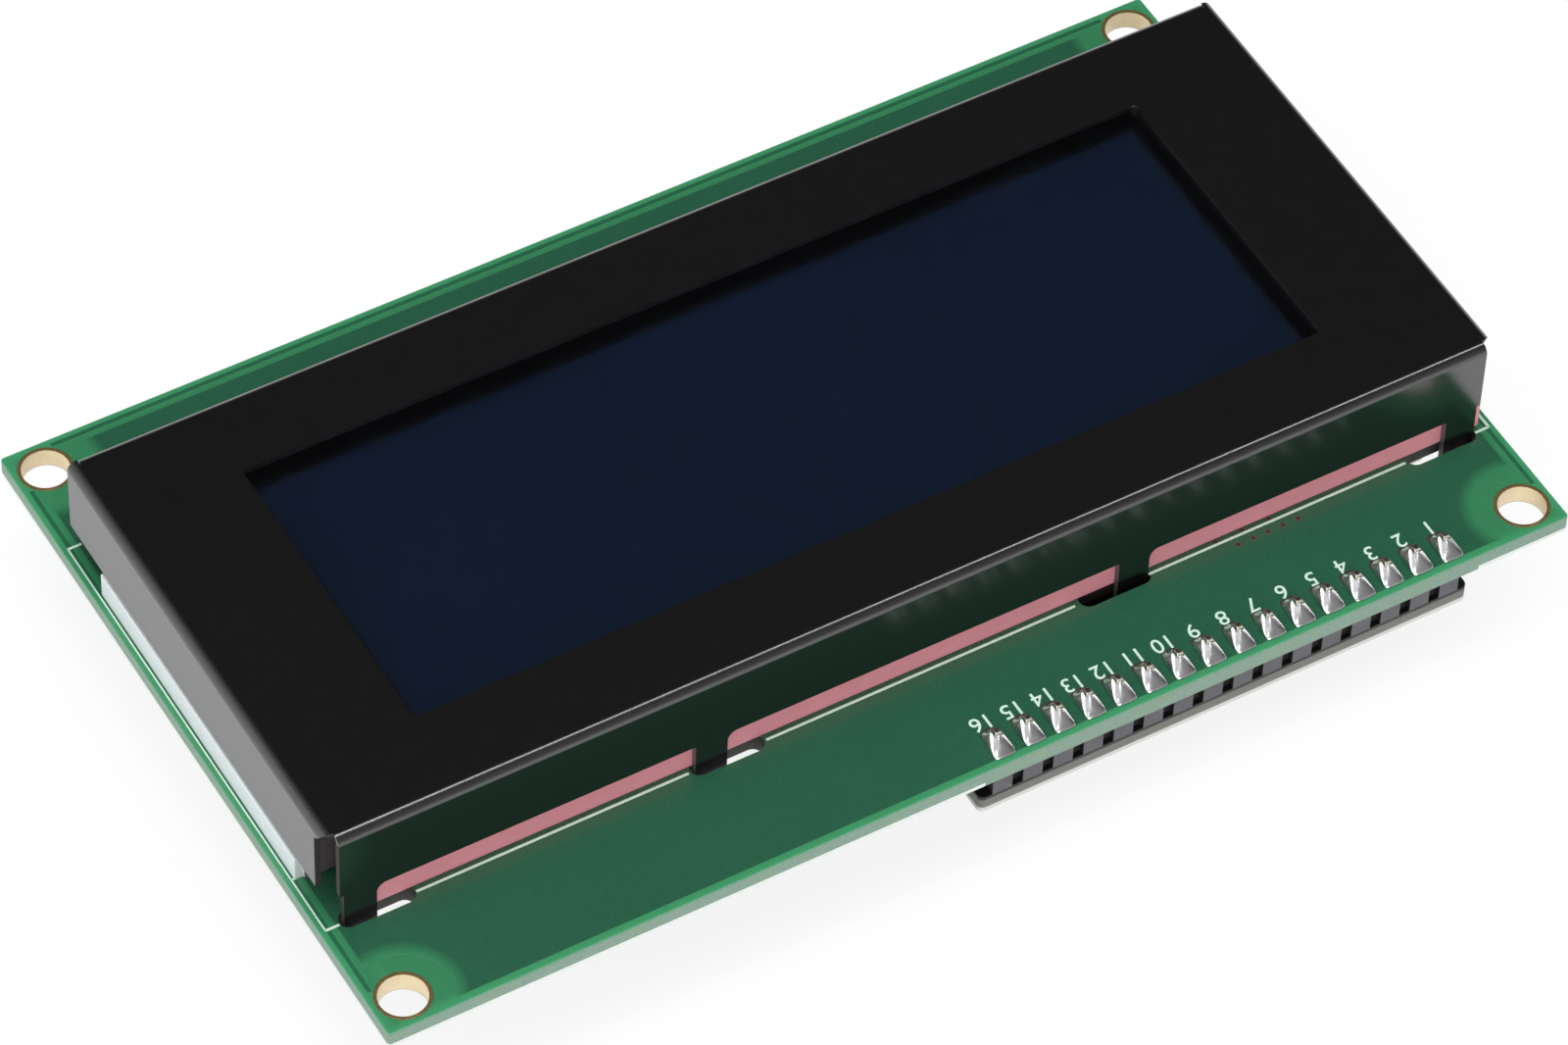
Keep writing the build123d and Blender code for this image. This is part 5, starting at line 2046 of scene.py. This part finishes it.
    def add_bent_pin(self, shape: Shape, y: float, tail: float, tip: float, middle: float) -> None:
        """Add one square pin that comes up through the board and turns out past its edge.

        Args:
            shape: The shape that it joins.
            y: Its place along the row.
            tail: Where it stands in the board.
            tip: Where it ends.
            middle: The height of its level stretch.
        """
        way = 1 if tip > tail else -1
        half, bend, taper, point = 0.32, 0.64, 0.15, 0.2
        low, high, top = middle - half, middle + half, self.top + 0.9
        near, far = tail + way * half, tail - way * half
        outline = [(near, top), (far, top)]
        outline += arc((far + way * bend, low + bend), bend, 180 if way > 0 else 0, 270, 5)
        outline += [(tip - way * taper, low), (tip, middle - point), (tip, middle + point),
                    (tip - way * taper, high), (near, high)]
        shape.slab([outline], y - half, y + half, 0.04, Along.Y)

    def add_jumper(self) -> None:
        """Add the jumper cap that bridges the two pins."""
        middle = self.back - self.strip_width / 2
        cap = Shape(BLACK_NYLON)
        outer = rounded((self.side_y, middle), *self.cap_side, 0.45)
        places = [(self.side_y + side * self.board.pitch / 2, middle) for side in (-1, 1)]
        holes = [rounded(place, 0.84, 0.84, 0.06, 2) for place in places]
        cap.slab([outer] + holes, -2.4, -0.1, 0.1, Along.X)
        cap.slab([outer], -6.5, -2.38, 0.18, Along.X)
        cap.piece("jumper_cap_shell", "jumper_cap")
        dress("jumper_clip", TINNED)

    def add_small_parts(self) -> None:
        """Add the transistor, the resistors, the capacitors and the lamp."""
        body = Shape(CHIP_RESIN)
        x, y = self.transistor
        seat = self.back - 0.1
        body.stack([
            [(px, py, z) for px, py in rounded((x, y), 2 * (1.45 - pull), 2 * (0.65 - pull), 0.08, 2)]
            for z, pull in ((seat, 0.08), (seat - 0.5, 0.0), (seat - 0.9, 0.16), (seat - 1.0, 0.22))
        ])
        body.piece("transistor_body", "backlight_transistor")
        leads = Shape(TINNED)
        for lead_x, side in ((x - 0.95, -1), (x + 0.95, -1), (x, 1)):
            self.add_lead(leads, lead_x, y + side * 0.65, side, 0.55, 0.3, 0.6, 0.12, 0.4)
        leads.piece("transistor_lead_set", "transistor_leads")
        centre_x, centre_y = (self.left + self.right) / 2, (self.front + self.rear) / 2
        resistors = [(-0.8, 4.0, 90), (-0.8, -1.0, 90), (-14.5, -5.0, 0), (14.5, 7.0, 0)]
        spots = [(centre_x + dx, centre_y + dy, turn) for dx, dy, turn in resistors]
        self.add_chips("adapter_resistors", spots, self.back, CERAMIC_BLACK, CERAMIC_WHITE)
        self.add_chips("adapter_capacitor", [(centre_x + 13.4, centre_y - 5.6, 0)], self.back, CERAMIC_TAN)
        lamp = [(centre_x + 11.0, centre_y + 7.0, 0)]
        self.add_chips("power_led", lamp, self.back, LAMP_RED, CERAMIC_WHITE)

    @staticmethod
    def add_chips(node: str, spots: list[Place], seat: float, top: Finish,
                  under: Finish | None = None) -> None:
        """Add small two-ended parts that hang under a board.

        Args:
            node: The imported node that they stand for.
            spots: Their places and turns.
            seat: The surface that they hang from.
            top: Finish of the face away from the board.
            under: Finish of the body under that face, if it differs.
        """
        shape = Shape(top, under or top, TINNED)
        for x, y, turn in spots:
            blocks = [(0.0, (0.98, 0.575) if turn else (0.95, 0.605), 0.44, 0.02, 0.04, 1),
                      (0.0, (0.64, 0.56), 0.5, 0.4, 0.03, 0)]
            blocks += [(side * 0.825, (0.175, 0.625), 0.55, 0.005, 0.05, 2) for side in (-1, 1)]
            for shift, (along, across), low, high, edge, look in blocks:
                near, far = (shift - along, -across), (shift + along, across)
                if turn:
                    near, far = near[::-1], far[::-1]
                shape.block((x + near[0], y + near[1], seat - low), (x + far[0], y + far[1], seat - high),
                            edge, look)
        shape.piece(f"{node}_dressed", node)


@dataclass
class BoardBack:
    """What hangs behind the main board: resin blobs and a row of small parts."""

    back: float = -1.6
    blobs: tuple[tuple[str, float, tuple[Point, ...]], ...] = (
        ("controller_blob", 6.0, ((-14.0, -4.0),)),
        ("segment_driver_blobs", 5.2, ((-36.0, -4.0), (14.0, 10.0))),
    )
    blob_height: float = 1.3
    row_y: float = -22.5
    resistor_x: float = -30.0
    resistor_pitch: float = 4.2
    resistor_count: int = 5
    capacitor_x: tuple[float, float] = (-34.2, -9.0)

    def build(self) -> None:
        """Build the blobs and the row."""
        for node, radius, places in self.blobs:
            shape = Shape(BLOB_RESIN)
            for number, centre in enumerate(places):
                self.add_blob(shape, centre, radius, number)
            shape.piece(f"{node}_resin", node, smooth=ROUND_ANGLE)
        row = [(self.resistor_x + self.resistor_pitch * index, self.row_y, 90)
               for index in range(self.resistor_count)]
        AdapterBoard.add_chips("board_resistors", row, self.back, CERAMIC_BLACK, CERAMIC_WHITE)
        pair = [(x, self.row_y, 90) for x in self.capacitor_x]
        AdapterBoard.add_chips("board_capacitors", pair, self.back, CERAMIC_TAN)

    def add_blob(self, shape: Shape, centre: Point, radius: float, number: int) -> None:
        """Add one poured blob with a slightly uneven outline.

        Args:
            shape: The shape that it joins.
            centre: Its middle.
            radius: Its radius.
            number: Its number, which turns its waves.
        """
        levels, steps = 12, 64
        rings = []
        for level in range(levels):
            share = 1 - level / levels
            drop = self.blob_height * (1 - share ** 2.6)
            rings.append([])
            for step in range(steps):
                angle = 2 * math.pi * step / steps
                wave = 1 - 0.02 * (1 + math.sin(2 * angle + number)) - 0.012 * (1 + math.sin(5 * angle))
                reach = radius * wave * share
                rings[-1].append((centre[0] + reach * math.cos(angle), centre[1] + reach * math.sin(angle),
                                  self.back - drop * 0.995))
        shape.stack(rings)


# The whole module


def main() -> None:
    """Build the studio and every part of the module in order."""
    logging.basicConfig(level=logging.INFO, format="%(message)s")
    Studio().build()
    board = MainBoard()
    board.build()
    Bezel().build()
    DisplayCell().build()
    Backlight().build()
    ContactStrips().build()
    Header(board).build()
    AdapterBoard(board).build()
    BoardBack().build()


if __name__ == "__main__":
    main()
